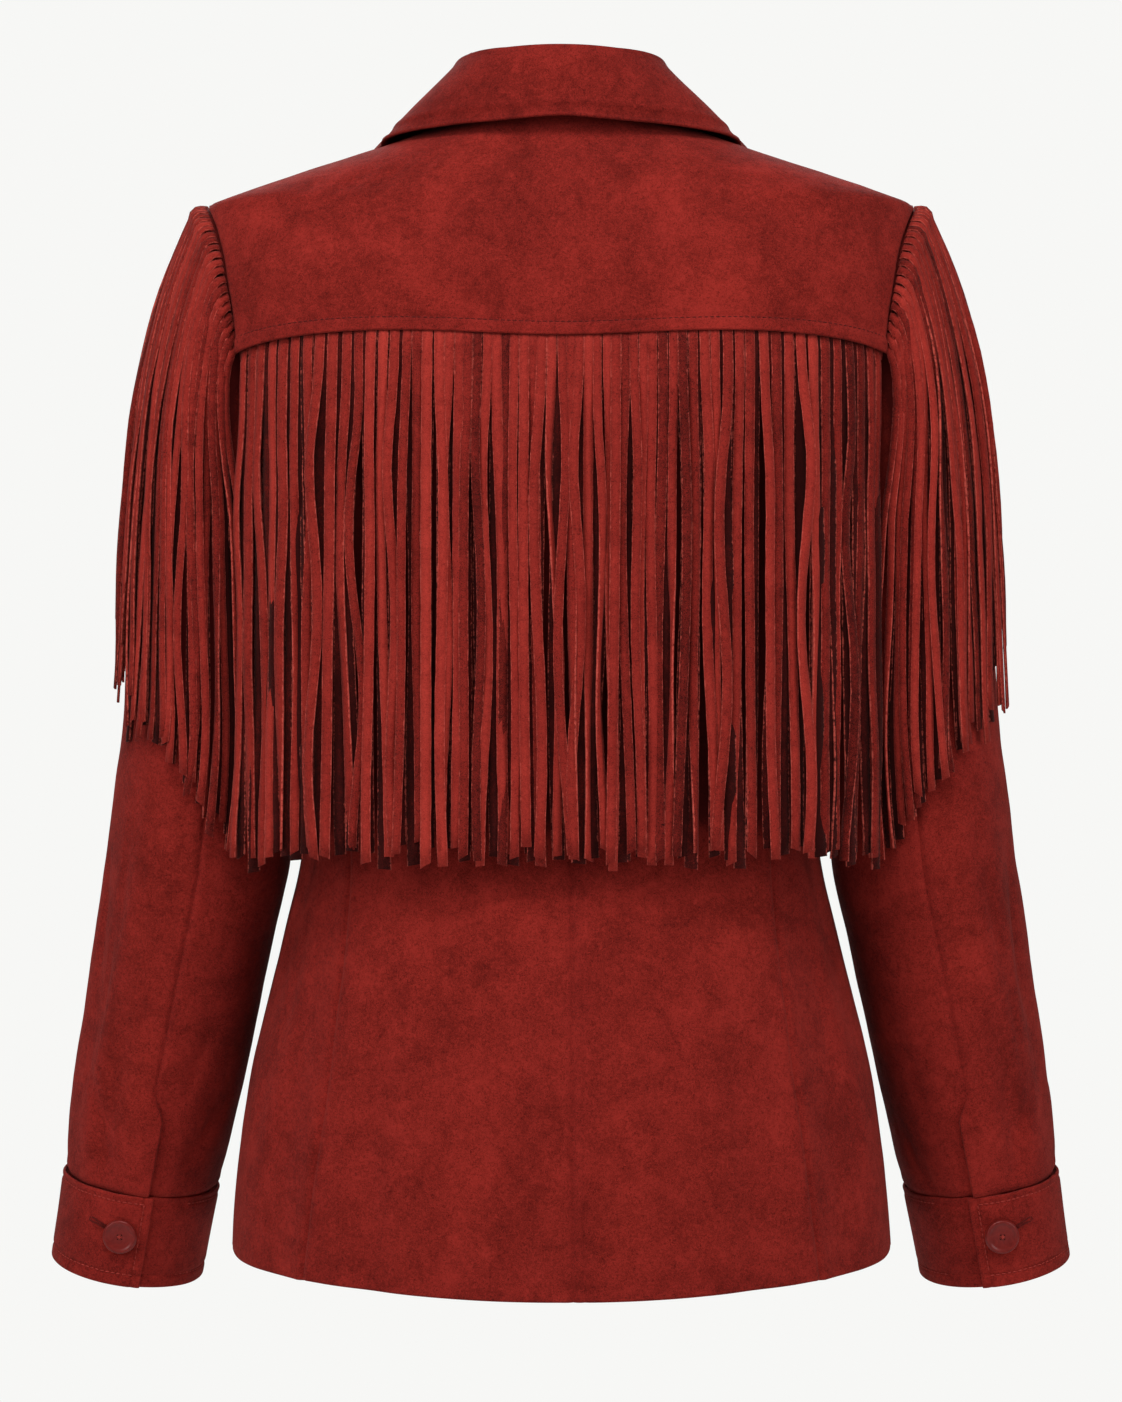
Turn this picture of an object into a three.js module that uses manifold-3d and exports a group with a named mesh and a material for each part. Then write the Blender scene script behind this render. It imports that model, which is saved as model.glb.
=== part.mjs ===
// A suede blazer with fringe along its back yoke and over its sleeves, filled out as if worn.
// Millimetres, +Z up. The front faces -Y and +X is the wearer's left.
// The origin lies between the shoulders, level with the foot of the neck, where a wearer holds it.
import * as THREE from 'three';
import Module from 'manifold-3d';

const wasm = await Module();
wasm.setup();

// Cloth and seams
const cloth = 1.8;
const seamGap = 0.3;
const rightAngle = Math.PI / 2;
const tiny = 0.004;

// Horizontal sections through the body, from the hem up: half the width, the depth behind and
// before the middle, and how square the section is
const torsoTable = [
  { z: -666, halfWidth: 191, back: 122, front: 126, power: 2.3 },
  { z: -606, halfWidth: 187.5, back: 122, front: 124, power: 2.3 },
  { z: -560, halfWidth: 181, back: 120, front: 121, power: 2.3 },
  { z: -513, halfWidth: 171, back: 115, front: 117, power: 2.3 },
  { z: -460, halfWidth: 158, back: 107, front: 110, power: 2.3 },
  { z: -423, halfWidth: 150, back: 101, front: 107, power: 2.3 },
  { z: -385, halfWidth: 147, back: 99, front: 107, power: 2.3 },
  { z: -350, halfWidth: 149, back: 100, front: 112, power: 2.3 },
  { z: -300, halfWidth: 152, back: 106, front: 124, power: 2.3 },
  { z: -250, halfWidth: 155.5, back: 111, front: 134, power: 2.4 },
  { z: -205, halfWidth: 164, back: 114, front: 136, power: 2.5 },
  { z: -180, halfWidth: 178, back: 114, front: 132, power: 2.6 },
  { z: -140, halfWidth: 195, back: 112, front: 124, power: 2.7 },
  { z: -100, halfWidth: 204, back: 106, front: 115, power: 2.7 },
  { z: -75, halfWidth: 206, back: 98, front: 108, power: 2.6 },
  { z: -50, halfWidth: 204, back: 87, front: 97, power: 2.5 },
  { z: -42, halfWidth: 186, back: 83, front: 91, power: 2.4 },
  { z: -32, halfWidth: 157, back: 78, front: 84, power: 2.3 },
  { z: -22, halfWidth: 127, back: 72, front: 76, power: 2.2 },
  { z: -12, halfWidth: 98, back: 67, front: 67, power: 2.1 },
  { z: -4, halfWidth: 75, back: 63, front: 60, power: 2.1 },
  { z: 3, halfWidth: 66, back: 60, front: 56, power: 2.1 },
];

// Long soft folds of the skirt and waist, one on each side for every row
const torsoFolds = [
  { turn: 1.13, spread: 0.1, middle: -560, reach: 105, depth: 5 },
  { turn: 0.8, spread: 0.08, middle: -600, reach: 80, depth: 3.5 },
  { turn: 1.34, spread: 0.09, middle: -470, reach: 70, depth: 3 },
  { turn: 2.05, spread: 0.11, middle: -560, reach: 100, depth: 3.5 },
  { turn: 2.5, spread: 0.1, middle: -590, reach: 80, depth: 2 },
];

// Horizontal sections through the wearer's left sleeve, from the end of the cuff up
const sleeveTable = [
  { z: -668, x: 257, y: -46, halfWidth: 42.6, halfDepth: 50 },
  { z: -614, x: 247.6, y: -42.5, halfWidth: 44.2, halfDepth: 52 },
  { z: -596, x: 244.4, y: -39.5, halfWidth: 46.8, halfDepth: 53 },
  { z: -538, x: 233.2, y: -30, halfWidth: 49.8, halfDepth: 56 },
  { z: -479, x: 221.8, y: -20, halfWidth: 51.5, halfDepth: 59.2 },
  { z: -426, x: 211.8, y: -12.4, halfWidth: 53.2, halfDepth: 62 },
  { z: -333, x: 204, y: -5, halfWidth: 49, halfDepth: 63 },
  { z: -240, x: 204.5, y: -2, halfWidth: 43.5, halfDepth: 62 },
];

// Soft folds of the sleeve: where round it, and how far along it
const sleeveFolds = [
  { turn: 1.05, spread: 0.2, middle: -500, reach: 75, depth: 4 },
  { turn: 0.45, spread: 0.16, middle: -570, reach: 45, depth: 3 },
  { turn: 2.2, spread: 0.2, middle: -430, reach: 70, depth: 4 },
  { turn: 4.2, spread: 0.2, middle: -470, reach: 60, depth: 3 },
];

const armhole = { middle: -126.5, halfHeight: 78.5, backSpread: 0.32, frontSpread: 0.38 };
const neckPoint = -4;
const backNeck = 2;
const hem = { side: -649, dip: 14.5 };

const sleeve = {
  bicep: -240,
  cuffTop: -614,
  tilt: 6,
  backTilt: 5,
  seamTurn: -0.13,
  seamTurnBelow: -0.08,
  bendFrom: 1.4,
  bendTo: 1.85,
  armholeInset: 1.2,
  armholeLift: 0.8,
  capRun: 0.32,
  capDrop: 1,
  meanRadius: 50,
};
const cuff = {
  depth: 52, proud: 1.7, thickness: 2.2, start: -0.29, overlap: 0.45, lapGap: 0.5, sinkFrom: 0.7,
};
const yoke = {
  centre: -132.5,
  rise: 17,
  fall: 21.5,
  cornerTurn: 1.256,
  thickness: 2.2,
  edgeLift: 3.1,
  upperLift: 0.4,
  fade: 16,
};
const centreSeam = 0.055;
const breast = { lap: 20, breakPoint: -300, neckX: 58, curve: 0.9, meetLift: 1.35 };
const lapBlend = { from: Math.PI - 0.48, to: Math.PI - 0.22 };
const lapel = {
  overBottom: -292, underBottom: -226, top: -62, widest: 78, bulge: 3, lift: 0.5, topDrop: 26,
  shape: 1.15, opening: 0.98, foot: 0.03,
};
const button = { radius: 10, thickness: 3.4, rim: 2.2, dish: 0.8, sides: 16 };
const frontButtons = { name: 'front_button', heights: [-325, -415], clearance: 0.9 };

const fringe = {
  length: 288,
  stripDepth: 12,
  stripInside: 0.35,
  stripOutside: 2.85,
  backCount: 40,
  stripInset: 0.008,
  strandInset: 0.028,
  standOff: 1,
  sleeveCount: 11,
  layers: [
    { inside: 0.6, outside: 1.5, shift: 0 },
    { inside: 1.85, outside: 2.75, shift: 0.5 },
  ],
};
// The back's strands: rooted inside the strip, crowded a little to the sides, uneven at the tips
const backStrands = {
  width: 7.2, widthVaries: 0.3, crowding: 0.93, rootBelowEdge: 6, firstStation: 5,
  secondStation: 55, tipVaries: 5, sway: 0.7,
};
const sleeveStrands = { width: 5.6, widthVaries: 0.4, lengthVaries: 6, endInset: 0.04, step: 0.01 };

const suede = { color: 0x7d211a, roughness: 0.95, metalness: 0 };
const fringeSuede = { color: 0xa0332b, roughness: 0.95, metalness: 0 };
const glossyRed = { color: 0x4c0f10, roughness: 0.25, metalness: 0 };

// Reading of the tables

function slopeAt(table, column, index) {
  const before = table[Math.max(index - 1, 0)];
  const here = table[index];
  const after = table[Math.min(index + 1, table.length - 1)];
  if (before === here || here === after) {
    return (after[column] - before[column]) / (after.z - before.z);
  }
  const below = (here[column] - before[column]) / (here.z - before.z);
  const above = (after[column] - here[column]) / (after.z - here.z);
  return below * above > 0 ? (2 * below * above) / (below + above) : 0;
}

// A smooth value of one column at a height, which never overshoots between two rows
function columnAt(table, column, z) {
  let index = 0;
  while (index < table.length - 2 && z > table[index + 1].z) index += 1;
  const low = table[index];
  const high = table[index + 1];
  const span = high.z - low.z;
  const t = THREE.MathUtils.clamp((z - low.z) / span, 0, 1);
  const arrive = t * t * (3 - 2 * t);
  const leaving = t * (1 - t) * (1 - t) * span * slopeAt(table, column, index);
  const arriving = t * t * (1 - t) * span * slopeAt(table, column, index + 1);
  return low[column] * (1 - arrive) + high[column] * arrive + leaving - arriving;
}

// How far the folds draw a surface in at one place
function foldDepth(folds, turn, z) {
  let depth = 0;
  for (const fold of folds) {
    const across = (turn - fold.turn) / fold.spread;
    const along = (z - fold.middle) / fold.reach;
    depth += fold.depth * Math.exp(-across * across - along * along);
  }
  return depth;
}

// Surfaces

// The body's outer surface. The turn is 0 at the centre back and a right angle at the left side.
function torsoSurface(turn, z) {
  const power = columnAt(torsoTable, 'power', z);
  const depth = columnAt(torsoTable, Math.cos(turn) > 0 ? 'back' : 'front', z);
  const across = Math.abs(Math.sin(turn)) / columnAt(torsoTable, 'halfWidth', z);
  const along = Math.abs(Math.cos(turn)) / depth;
  const radius = (across ** power + along ** power) ** (-1 / power);
  const drawn = radius - foldDepth(torsoFolds, Math.abs(turn), z);
  return new THREE.Vector3(drawn * Math.sin(turn), drawn * Math.cos(turn), z);
}

// A surface's outward normal, for a surface whose first value turns clockwise seen from above
function normalOf(surface, first, second, step) {
  const across = surface(first + tiny, second).sub(surface(first - tiny, second));
  const up = surface(first, second + step).sub(surface(first, second - step));
  return up.cross(across).normalize();
}

function onTorso(turn, z, lift) {
  const normal = normalOf(torsoSurface, turn, z, 1);
  return torsoSurface(turn, z).addScaledVector(normal, lift);
}

// The armhole's edge on the body. Its angle is a right angle at the shoulder and 0 at the back.
function armholeTurn(angle, inset) {
  const spread = Math.cos(angle) > 0 ? armhole.backSpread : armhole.frontSpread;
  return rightAngle - spread * (1 - inset / armhole.halfHeight) * Math.cos(angle);
}

function armholeHeight(angle, inset) {
  return armhole.middle + (armhole.halfHeight - inset) * Math.sin(angle);
}

// How far the armhole cuts back from the side seam at a height
function armholeBite(z) {
  const level = (z - armhole.middle) / armhole.halfHeight;
  return Math.abs(level) < 1 ? Math.sqrt(1 - level * level) : 0;
}

function backEdge(z) {
  return rightAngle - armhole.backSpread * armholeBite(z);
}

function frontEdge(z) {
  return rightAngle + armhole.frontSpread * armholeBite(z);
}

function sleeveRing(angle, z) {
  const drop = (sleeve.bicep - z) / (sleeve.bicep - sleeve.cuffTop);
  const wrapped = THREE.MathUtils.euclideanModulo(angle, 2 * Math.PI);
  const drawn = foldDepth(sleeveFolds, wrapped, z);
  return new THREE.Vector3(
    columnAt(sleeveTable, 'x', z) + (columnAt(sleeveTable, 'halfWidth', z) - drawn) * Math.sin(angle),
    columnAt(sleeveTable, 'y', z) + (columnAt(sleeveTable, 'halfDepth', z) - drawn) * Math.cos(angle),
    z + drop * (sleeve.tilt * Math.sin(angle) - sleeve.backTilt * Math.cos(angle)),
  );
}

// The cap leaves the armhole outwards and bends down into the upper arm
function sleeveCap(angle, t) {
  const inset = sleeve.armholeInset;
  const start = onTorso(armholeTurn(angle, inset), armholeHeight(angle, inset), sleeve.armholeLift);
  const end = sleeveRing(angle, sleeve.bicep);
  const distance = start.distanceTo(end);
  const leave = new THREE.Vector3(0.93, 0.3 * Math.cos(angle), -0.3 * Math.max(Math.sin(angle), 0));
  const arrive = new THREE.Vector3(0.03, 0, -1);
  const blend = t * t * (3 - 2 * t);
  return start.multiplyScalar(1 - blend)
    .addScaledVector(end, blend)
    .addScaledVector(leave, t * (1 - t) * (1 - t) * distance * sleeve.capRun)
    .addScaledVector(arrive, -t * t * (1 - t) * distance * sleeve.capDrop);
}

// Along the sleeve 0 is the armhole, 1 the upper arm and 2 the top of the cuff
function sleeveSurface(angle, along) {
  if (along < 1) return sleeveCap(angle, along);
  return sleeveRing(angle, sleeveHeight(along));
}

function sleeveHeight(along) {
  return sleeve.bicep + (along - 1) * (sleeve.cuffTop - sleeve.bicep);
}

function onSleeve(angle, along, lift) {
  const above = Math.max(along - tiny, 0);
  const across = sleeveSurface(angle + tiny, along).sub(sleeveSurface(angle - tiny, along));
  const up = sleeveSurface(angle, above).sub(sleeveSurface(angle, along + tiny));
  return sleeveSurface(angle, along).addScaledVector(up.cross(across).normalize(), lift);
}

// Edges and seams

function hemHeight(turn) {
  return hem.side - hem.dip * Math.abs(Math.cos(turn));
}

// The yoke's lower edge rises a little to each side of the centre and falls to its corners
function yokeEdge(turn) {
  const side = (turn / yoke.cornerTurn) ** 2;
  return yoke.centre + yoke.rise * side - yoke.fall * side * side;
}

const princessTable = [
  { z: -666, x: 146 },
  { z: -600, x: 138 },
  { z: -520, x: 128 },
  { z: -430, x: 119 },
  { z: -300, x: 122 },
  { z: -130, x: 142 },
];

// The turn at which the body has a given distance from its middle plane
function turnAtX(x, z, low, high) {
  let from = low;
  let to = high;
  for (let step = 0; step < 30; step += 1) {
    const middle = (from + to) / 2;
    const tooFar = (torsoSurface(middle, z).x - x) * (high > 2 ? -1 : 1) > 0;
    if (tooFar) to = middle;
    else from = middle;
  }
  return (from + to) / 2;
}

function princessTurn(z) {
  return turnAtX(columnAt(princessTable, 'x', z), z, 0, rightAngle);
}

// The fronts lap by a fixed width below the break point and open in a V above it
function breastTurn(z) {
  const rise = Math.max((z - breast.breakPoint) / (neckPoint - breast.breakPoint), 0);
  const x = (breast.neckX + breast.lap) * rise ** breast.curve - breast.lap;
  return turnAtX(x, z, rightAngle, Math.PI * 1.2);
}

function steps(from, to, count) {
  return Array.from({ length: count + 1 }, (_, index) => from + ((to - from) * index) / count);
}

function mix(from, to, share) {
  return from + (to - from) * share;
}

// Meshes

// A closed wall between two lifts of a surface, on a grid of its own two values
function wall(at, across, up, inside, outside) {
  const positions = [];
  for (const lift of [outside, inside]) {
    for (const second of up) {
      for (const first of across) positions.push(...at(first, second, lift).toArray());
    }
  }
  const width = across.length;
  const layer = width * up.length;
  const indices = [];
  for (let row = 0; row < up.length - 1; row += 1) {
    for (let column = 0; column < width - 1; column += 1) {
      const corner = row * width + column;
      const above = corner + width;
      indices.push(corner, above, corner + 1, corner + 1, above, above + 1);
      indices.push(layer + corner, layer + corner + 1, layer + above);
      indices.push(layer + corner + 1, layer + above + 1, layer + above);
    }
  }
  const rim = rimOf(width, up.length);
  rim.forEach((here, index) => {
    const next = rim[(index + 1) % rim.length];
    indices.push(here, next, layer + next, here, layer + next, layer + here);
  });
  return closedGeometry(positions, indices);
}

// The border of a grid, once round
function rimOf(width, height) {
  const rim = [];
  for (let column = 0; column < width - 1; column += 1) rim.push(column);
  for (let row = 0; row < height - 1; row += 1) rim.push(row * width + width - 1);
  for (let column = width - 1; column > 0; column -= 1) rim.push((height - 1) * width + column);
  for (let row = height - 1; row > 0; row -= 1) rim.push(row * width);
  return rim;
}

function closedGeometry(positions, indices) {
  const geometry = new THREE.BufferGeometry();
  geometry.setAttribute('position', new THREE.Float32BufferAttribute(positions, 3));
  geometry.setIndex(indices);
  return geometry;
}

// The same piece for the other side of the body
function mirrored(geometry) {
  const positions = Array.from(geometry.attributes.position.array);
  const flipped = positions.map((value, index) => (index % 3 === 0 ? -value : value));
  return closedGeometry(flipped, Array.from(geometry.index.array).reverse());
}

function toSolid(geometry) {
  return new wasm.Manifold(new wasm.Mesh({
    numProp: 3,
    vertProperties: new Float32Array(geometry.attributes.position.array),
    triVerts: new Uint32Array(geometry.index.array),
  }));
}

function fuse(geometries) {
  const solid = geometries.map(toSolid).reduce((whole, piece) => whole.add(piece));
  const mesh = solid.getMesh();
  return closedGeometry(Array.from(mesh.vertProperties), Array.from(mesh.triVerts));
}

// Panels of the body

// A panel between two turns, with its own lower and upper edge. The heights are those of its
// outer side, and the rows of the rest of the panel share them out in the same proportion.
function torsoPanel({ from, to, low, high, heights, columns, lift = () => 0, thickness = cloth }) {
  const bottom = heights[0];
  const top = heights[heights.length - 1];
  const shares = heights.map((height) => (height - bottom) / (top - bottom));
  const at = (across, share, depth) => {
    const first = mix(low(across), high(across), share);
    const radius = torsoSurface(mix(from(first), to(first), across), first).setZ(0).length();
    const gap = seamGap / 2 / radius;
    const turn = mix(from(first) + gap, to(first) - gap, across);
    return onTorso(turn, first, lift(turn, first) + depth);
  };
  return wall(at, steps(0, 1, columns), shares, -thickness, 0);
}

// Heights up the side: even below the armhole, then at even angles round it
function sideHeights(bottom, lowRows, armholeTop, armholeRows) {
  const below = steps(bottom, armhole.middle - armhole.halfHeight, lowRows);
  const round = steps(-rightAngle, armholeTop, armholeRows).slice(1);
  return [...below, ...round.map((angle) => armholeHeight(angle, 0))];
}

const cornerAngle = Math.asin((yokeEdge(yoke.cornerTurn) - armhole.middle) / armhole.halfHeight);
const bodyRows = 9;
const shoulderRows = [-44, -35, -20, neckPoint];

function backYoke() {
  const round = steps(cornerAngle, rightAngle, 5).map((angle) => armholeHeight(angle, 0));
  return torsoPanel({
    from: (z) => -backEdge(z),
    to: backEdge,
    low: (across) => yokeEdge((2 * across - 1) * backEdge(armholeHeight(cornerAngle, 0))),
    high: (across) => mix(backNeck, neckPoint, (2 * across - 1) ** 2),
    heights: [...round, ...shoulderRows],
    columns: 22,
    thickness: yoke.thickness,
    lift: (turn, z) => mix(
      yoke.upperLift, yoke.edgeLift, Math.exp(-Math.max(z - yokeEdge(turn), 0) / yoke.fade),
    ),
  });
}

const princessTop = princessTurn(yokeEdge(0.8));

// The centre-back seam lies a little to the wearer's right of the middle
function backCentre(seamTurn) {
  return torsoPanel({
    from: () => seamTurn,
    to: princessTurn,
    low: (across) => hemHeight(mix(seamTurn, princessTurn(hem.side), across)),
    high: (across) => yokeEdge(mix(seamTurn, princessTop, across)) - 2 * seamGap,
    heights: sideHeights(hem.side, bodyRows, cornerAngle, 4),
    columns: 7,
  });
}

function backSide() {
  return torsoPanel({
    from: princessTurn,
    to: backEdge,
    low: (across) => hemHeight(mix(princessTurn(hem.side), rightAngle, across)),
    high: (across) => yokeEdge(mix(princessTop, yoke.cornerTurn, across)) - 2 * seamGap,
    heights: sideHeights(hem.side, bodyRows, cornerAngle, 4),
    columns: 6,
  });
}

// The fronts part a little where they lap, the right one over the left
function lapLift(turn, over) {
  const near = THREE.MathUtils.smoothstep(turn, lapBlend.from, lapBlend.to);
  return breast.meetLift * near * (over ? 1 : -1);
}

function front(over) {
  return torsoPanel({
    from: frontEdge,
    to: breastTurn,
    low: (across) => hemHeight(mix(rightAngle, Math.PI, across)),
    high: () => neckPoint,
    heights: [...sideHeights(hem.side, bodyRows, rightAngle, 7), ...shoulderRows],
    columns: 10,
    lift: (turn) => lapLift(turn, over),
  });
}

// The lapel is turned back over the front from the edge of the V
function lapelPiece(over) {
  const at = (across, share, depth) => {
    const top = lapel.top - lapel.topDrop * across;
    const z = mix(over ? lapel.overBottom : lapel.underBottom, top, share);
    const roll = breastTurn(z);
    const opened = share * rightAngle * lapel.opening + lapel.foot;
    const width = lapel.widest * Math.sin(opened) ** lapel.shape;
    const radius = Math.hypot(torsoSurface(roll, z).x, torsoSurface(roll, z).y);
    const turn = roll - (across * width) / radius;
    const puff = lapel.bulge * Math.sin(Math.PI * Math.min(across * 0.8 + 0.1, 1));
    return onTorso(turn, z, lapLift(turn, over) + lapel.lift + puff + depth);
  };
  const grid = (across, share, depth) => at(1 - across, share, depth);
  return wall(grid, steps(0, 1, 5), steps(0, 1, 9), 0, cloth);
}

// Half of the collar, from the centre back to its point: the neck seam, how high it stands and
// leans in, and where its falling edge comes to lie over the shoulder
const collarTable = [
  { z: -1, turn: -0.5, seam: 3.4, stand: 33.5, lean: 3, fallTurn: -0.55, fallZ: -13, clear: 9 },
  { z: 0, turn: 0, seam: 4.2, stand: 33, lean: 1, fallTurn: 0, fallZ: -11, clear: 12 },
  { z: 1, turn: 0.5, seam: 3.4, stand: 33.5, lean: 3, fallTurn: 0.55, fallZ: -13, clear: 9 },
  { z: 2, turn: 1.05, seam: 0.8, stand: 34.5, lean: 10.5, fallTurn: 1.1, fallZ: -14.5, clear: 6 },
  { z: 3, turn: 1.57, seam: -1.6, stand: 34.5, lean: 15.5, fallTurn: 1.57, fallZ: -14, clear: 3.5 },
  { z: 4, turn: 1.95, seam: -3, stand: 28.5, lean: 12.5, fallTurn: 1.93, fallZ: -30, clear: 4 },
  { z: 5, turn: 2.3, seam: -20, stand: 20, lean: 3, fallTurn: 2.1, fallZ: -52, clear: 3.5 },
  { z: 6, turn: 2.47, seam: -46, stand: 5, lean: 0, fallTurn: 2.12, fallZ: -70, clear: 3.5 },
];
// How the collar is laid over its roll, most as shares of the roll's radius
const collar = {
  thickness: 2, rollRadius: 3.5, innerShare: 0.4, drop: 1.4, outerShare: 2.2,
  bellyPlace: 0.55, belly: 1.5, seamLift: 1.4, highestSeam: 3,
};

function collarProfile(place) {
  const side = Math.abs(place);
  const read = (column) => columnAt(collarTable, column, side);
  const sign = Math.sign(place) || 1;
  const low = Math.min(read('seam'), collar.highestSeam);
  const seam = onTorso(read('turn') * sign, low, collar.seamLift);
  seam.z = Math.max(seam.z, read('seam'));
  const outward = new THREE.Vector3(seam.x, seam.y, 0).normalize();
  const crest = seam.clone().addScaledVector(outward, -read('lean'));
  crest.z += read('stand');
  const fall = onTorso(read('fallTurn') * sign, read('fallZ'), read('clear'));
  const turned = crest.clone().addScaledVector(outward, collar.rollRadius);
  const drop = collar.rollRadius * collar.drop;
  const inner = crest.clone()
    .addScaledVector(outward, -collar.rollRadius * collar.innerShare);
  inner.z -= drop;
  const outer = crest.clone().addScaledVector(outward, collar.rollRadius * collar.outerShare);
  outer.z -= drop;
  const belly = outer.clone().lerp(fall, collar.bellyPlace)
    .addScaledVector(outward, collar.belly);
  return new THREE.CatmullRomCurve3([seam, inner, turned, outer, belly, fall]);
}

function collarPiece() {
  const profiles = new Map();
  const surface = (place, share) => {
    const key = place.toFixed(5);
    if (!profiles.has(key)) profiles.set(key, collarProfile(place));
    return profiles.get(key).getPoint(share);
  };
  const at = (place, share, depth) => {
    const low = Math.max(share - tiny, 0);
    const high = Math.min(share + tiny, 1);
    const across = surface(place + tiny, share).sub(surface(place - tiny, share));
    const up = surface(place, high).sub(surface(place, low));
    return surface(place, share).addScaledVector(up.cross(across).normalize(), depth);
  };
  return wall(at, steps(-6, 6, 22), steps(0, 1, 9), 0, collar.thickness);
}

// Sleeves

// The seam behind the arm lies a little towards the body, less so near the cuff
function seamTurn(along) {
  const below = THREE.MathUtils.smoothstep(along, sleeve.bendFrom, sleeve.bendTo);
  return mix(sleeve.seamTurn, sleeve.seamTurnBelow, below);
}

function sleeveHalf(from, to) {
  const gap = seamGap / 2 / sleeve.meanRadius;
  const at = (angle, along, lift) => onSleeve(angle + seamTurn(along), along, lift);
  const cap = steps(0, 1, 5);
  const arm = steps(1, 2, 8).slice(1);
  const lengths = [...cap, ...arm].reverse();
  return wall(at, steps(from + gap, to - gap, 9), lengths, -cloth, 0);
}

// The cuff goes once round and laps over its own end behind the wrist
function cuffLift(share) {
  const lapStart = 1 - cuff.overlap / (2 * Math.PI);
  const under = THREE.MathUtils.smoothstep(share, cuff.sinkFrom, lapStart);
  return cuff.proud - under * (cuff.thickness + cuff.lapGap);
}

function cuffAt(share, along, depth) {
  const angle = mix(cuff.start, cuff.start + 2 * Math.PI + cuff.overlap, share);
  return onSleeve(angle, along, cuffLift(share) + depth);
}

function cuffPiece() {
  const length = sleeve.bicep - sleeve.cuffTop;
  const bottom = 2 + cuff.depth / length;
  const top = 2 + seamGap / length;
  return wall(cuffAt, steps(0, 1, 26), [bottom, (bottom + top) / 2, top], -cuff.thickness, 0);
}

// Buttons

// A round button lathed about its own axis, with a raised rim and a dished middle
function buttonShape() {
  const { radius, thickness, rim, dish } = button;
  const outline = [
    [0, 0],
    [radius * 0.82, 0],
    [radius, thickness * 0.4],
    [radius * 0.97, thickness * 0.85],
    [radius - rim * 0.7, thickness],
    [radius - rim * 1.6, thickness - dish],
    [0, thickness - dish],
  ].map(([across, up]) => new THREE.Vector2(across, up));
  return new THREE.LatheGeometry(outline, button.sides).rotateX(rightAngle);
}

function placedButton(name, seat, outward, clearance) {
  const mesh = toMesh(name, buttonShape(), glossyRed);
  mesh.position.copy(seat).addScaledVector(outward, clearance);
  mesh.quaternion.setFromUnitVectors(new THREE.Vector3(0, 0, 1), outward);
  return mesh;
}

// Fringe

// A value between -1 and 1 that looks random and is the same every time
function uneven(index, kind) {
  const value = Math.sin(index * 12.9898 + kind * 78.233) * 43758.5453;
  return 2 * (value - Math.floor(value)) - 1;
}

// A four-sided strand through its stations, each with a centre, a side way and an outward way
function strand(stations, width, inside, outside) {
  const positions = [];
  for (const { centre, sideways, outward } of stations) {
    for (const [side, depth] of [[-1, outside], [1, outside], [1, inside], [-1, inside]]) {
      const corner = centre.clone()
        .addScaledVector(sideways, (side * width) / 2)
        .addScaledVector(outward, depth);
      positions.push(...corner.toArray());
    }
  }
  const indices = [0, 2, 1, 0, 3, 2];
  for (let row = 0; row < stations.length - 1; row += 1) {
    for (let side = 0; side < 4; side += 1) {
      const here = row * 4 + side;
      const next = row * 4 + ((side + 1) % 4);
      indices.push(here, next, next + 4, here, next + 4, here + 4);
    }
  }
  const last = (stations.length - 1) * 4;
  indices.push(last, last + 1, last + 2, last, last + 2, last + 3);
  return closedGeometry(positions, indices);
}

// How far back a strand is held by the sleeve that hangs beside it
function sleeveBehind(x, z) {
  const height = Math.min(z, sleeve.bicep);
  const across = (Math.abs(x) - columnAt(sleeveTable, 'x', height))
    / (columnAt(sleeveTable, 'halfWidth', height) + cloth);
  if (Math.abs(across) >= 1) return 0;
  const round = Math.sqrt(1 - across * across);
  return columnAt(sleeveTable, 'y', height) + columnAt(sleeveTable, 'halfDepth', height) * round;
}

// How far back the body itself holds a strand
function bodyBehind(x, z) {
  const power = columnAt(torsoTable, 'power', z);
  const across = Math.abs(x) / columnAt(torsoTable, 'halfWidth', z);
  return across < 1 ? columnAt(torsoTable, 'back', z) * (1 - across ** power) ** (1 / power) : 0;
}

function backStrand(index, layer) {
  const reach = yoke.cornerTurn - fringe.strandInset;
  const share = (2 * (index + layer.shift)) / (fringe.backCount - 0.5) - 1;
  const turn = reach * Math.sign(share) * Math.abs(share) ** backStrands.crowding;
  const edge = yokeEdge(turn);
  const rootHeight = edge - backStrands.rootBelowEdge;
  const root = torsoSurface(turn, rootHeight);
  const outward = normalOf(torsoSurface, turn, rootHeight, 1).setZ(0).normalize();
  const sideways = new THREE.Vector3(-outward.y, outward.x, 0);
  const tip = edge - fringe.length - backStrands.tipVaries * uneven(index, 1);
  const sway = backStrands.sway * uneven(index, 2);
  let held = root.y;
  const heights = [edge - backStrands.firstStation, edge - backStrands.secondStation, tip];
  const stations = heights.map((z) => {
    const fallen = (edge - z) / fringe.length;
    const standing = Math.max(bodyBehind(root.x, z), sleeveBehind(root.x, z)) + fringe.standOff;
    if (z < edge - fringe.stripDepth) held = Math.max(held, standing);
    return { centre: new THREE.Vector3(root.x + sway * fallen ** 2, held, z), sideways, outward };
  });
  const width = backStrands.width + backStrands.widthVaries * uneven(index, 3);
  return strand(stations.reverse(), width, layer.inside, layer.outside);
}

function backFringe() {
  const reach = yoke.cornerTurn - fringe.stripInset;
  const at = (turn, down, lift) => onTorso(turn, yokeEdge(turn) - 2 * seamGap - down, lift);
  const strip = wall(
    at, steps(-reach, reach, 48), [fringe.stripDepth, 0], fringe.stripInside, fringe.stripOutside,
  );
  const strands = fringe.layers.flatMap((layer) => {
    const count = fringe.backCount - (layer.shift > 0 ? 1 : 0);
    return Array.from({ length: count }, (_, index) => backStrand(index, layer));
  });
  return fuse([strip, ...strands]);
}

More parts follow.
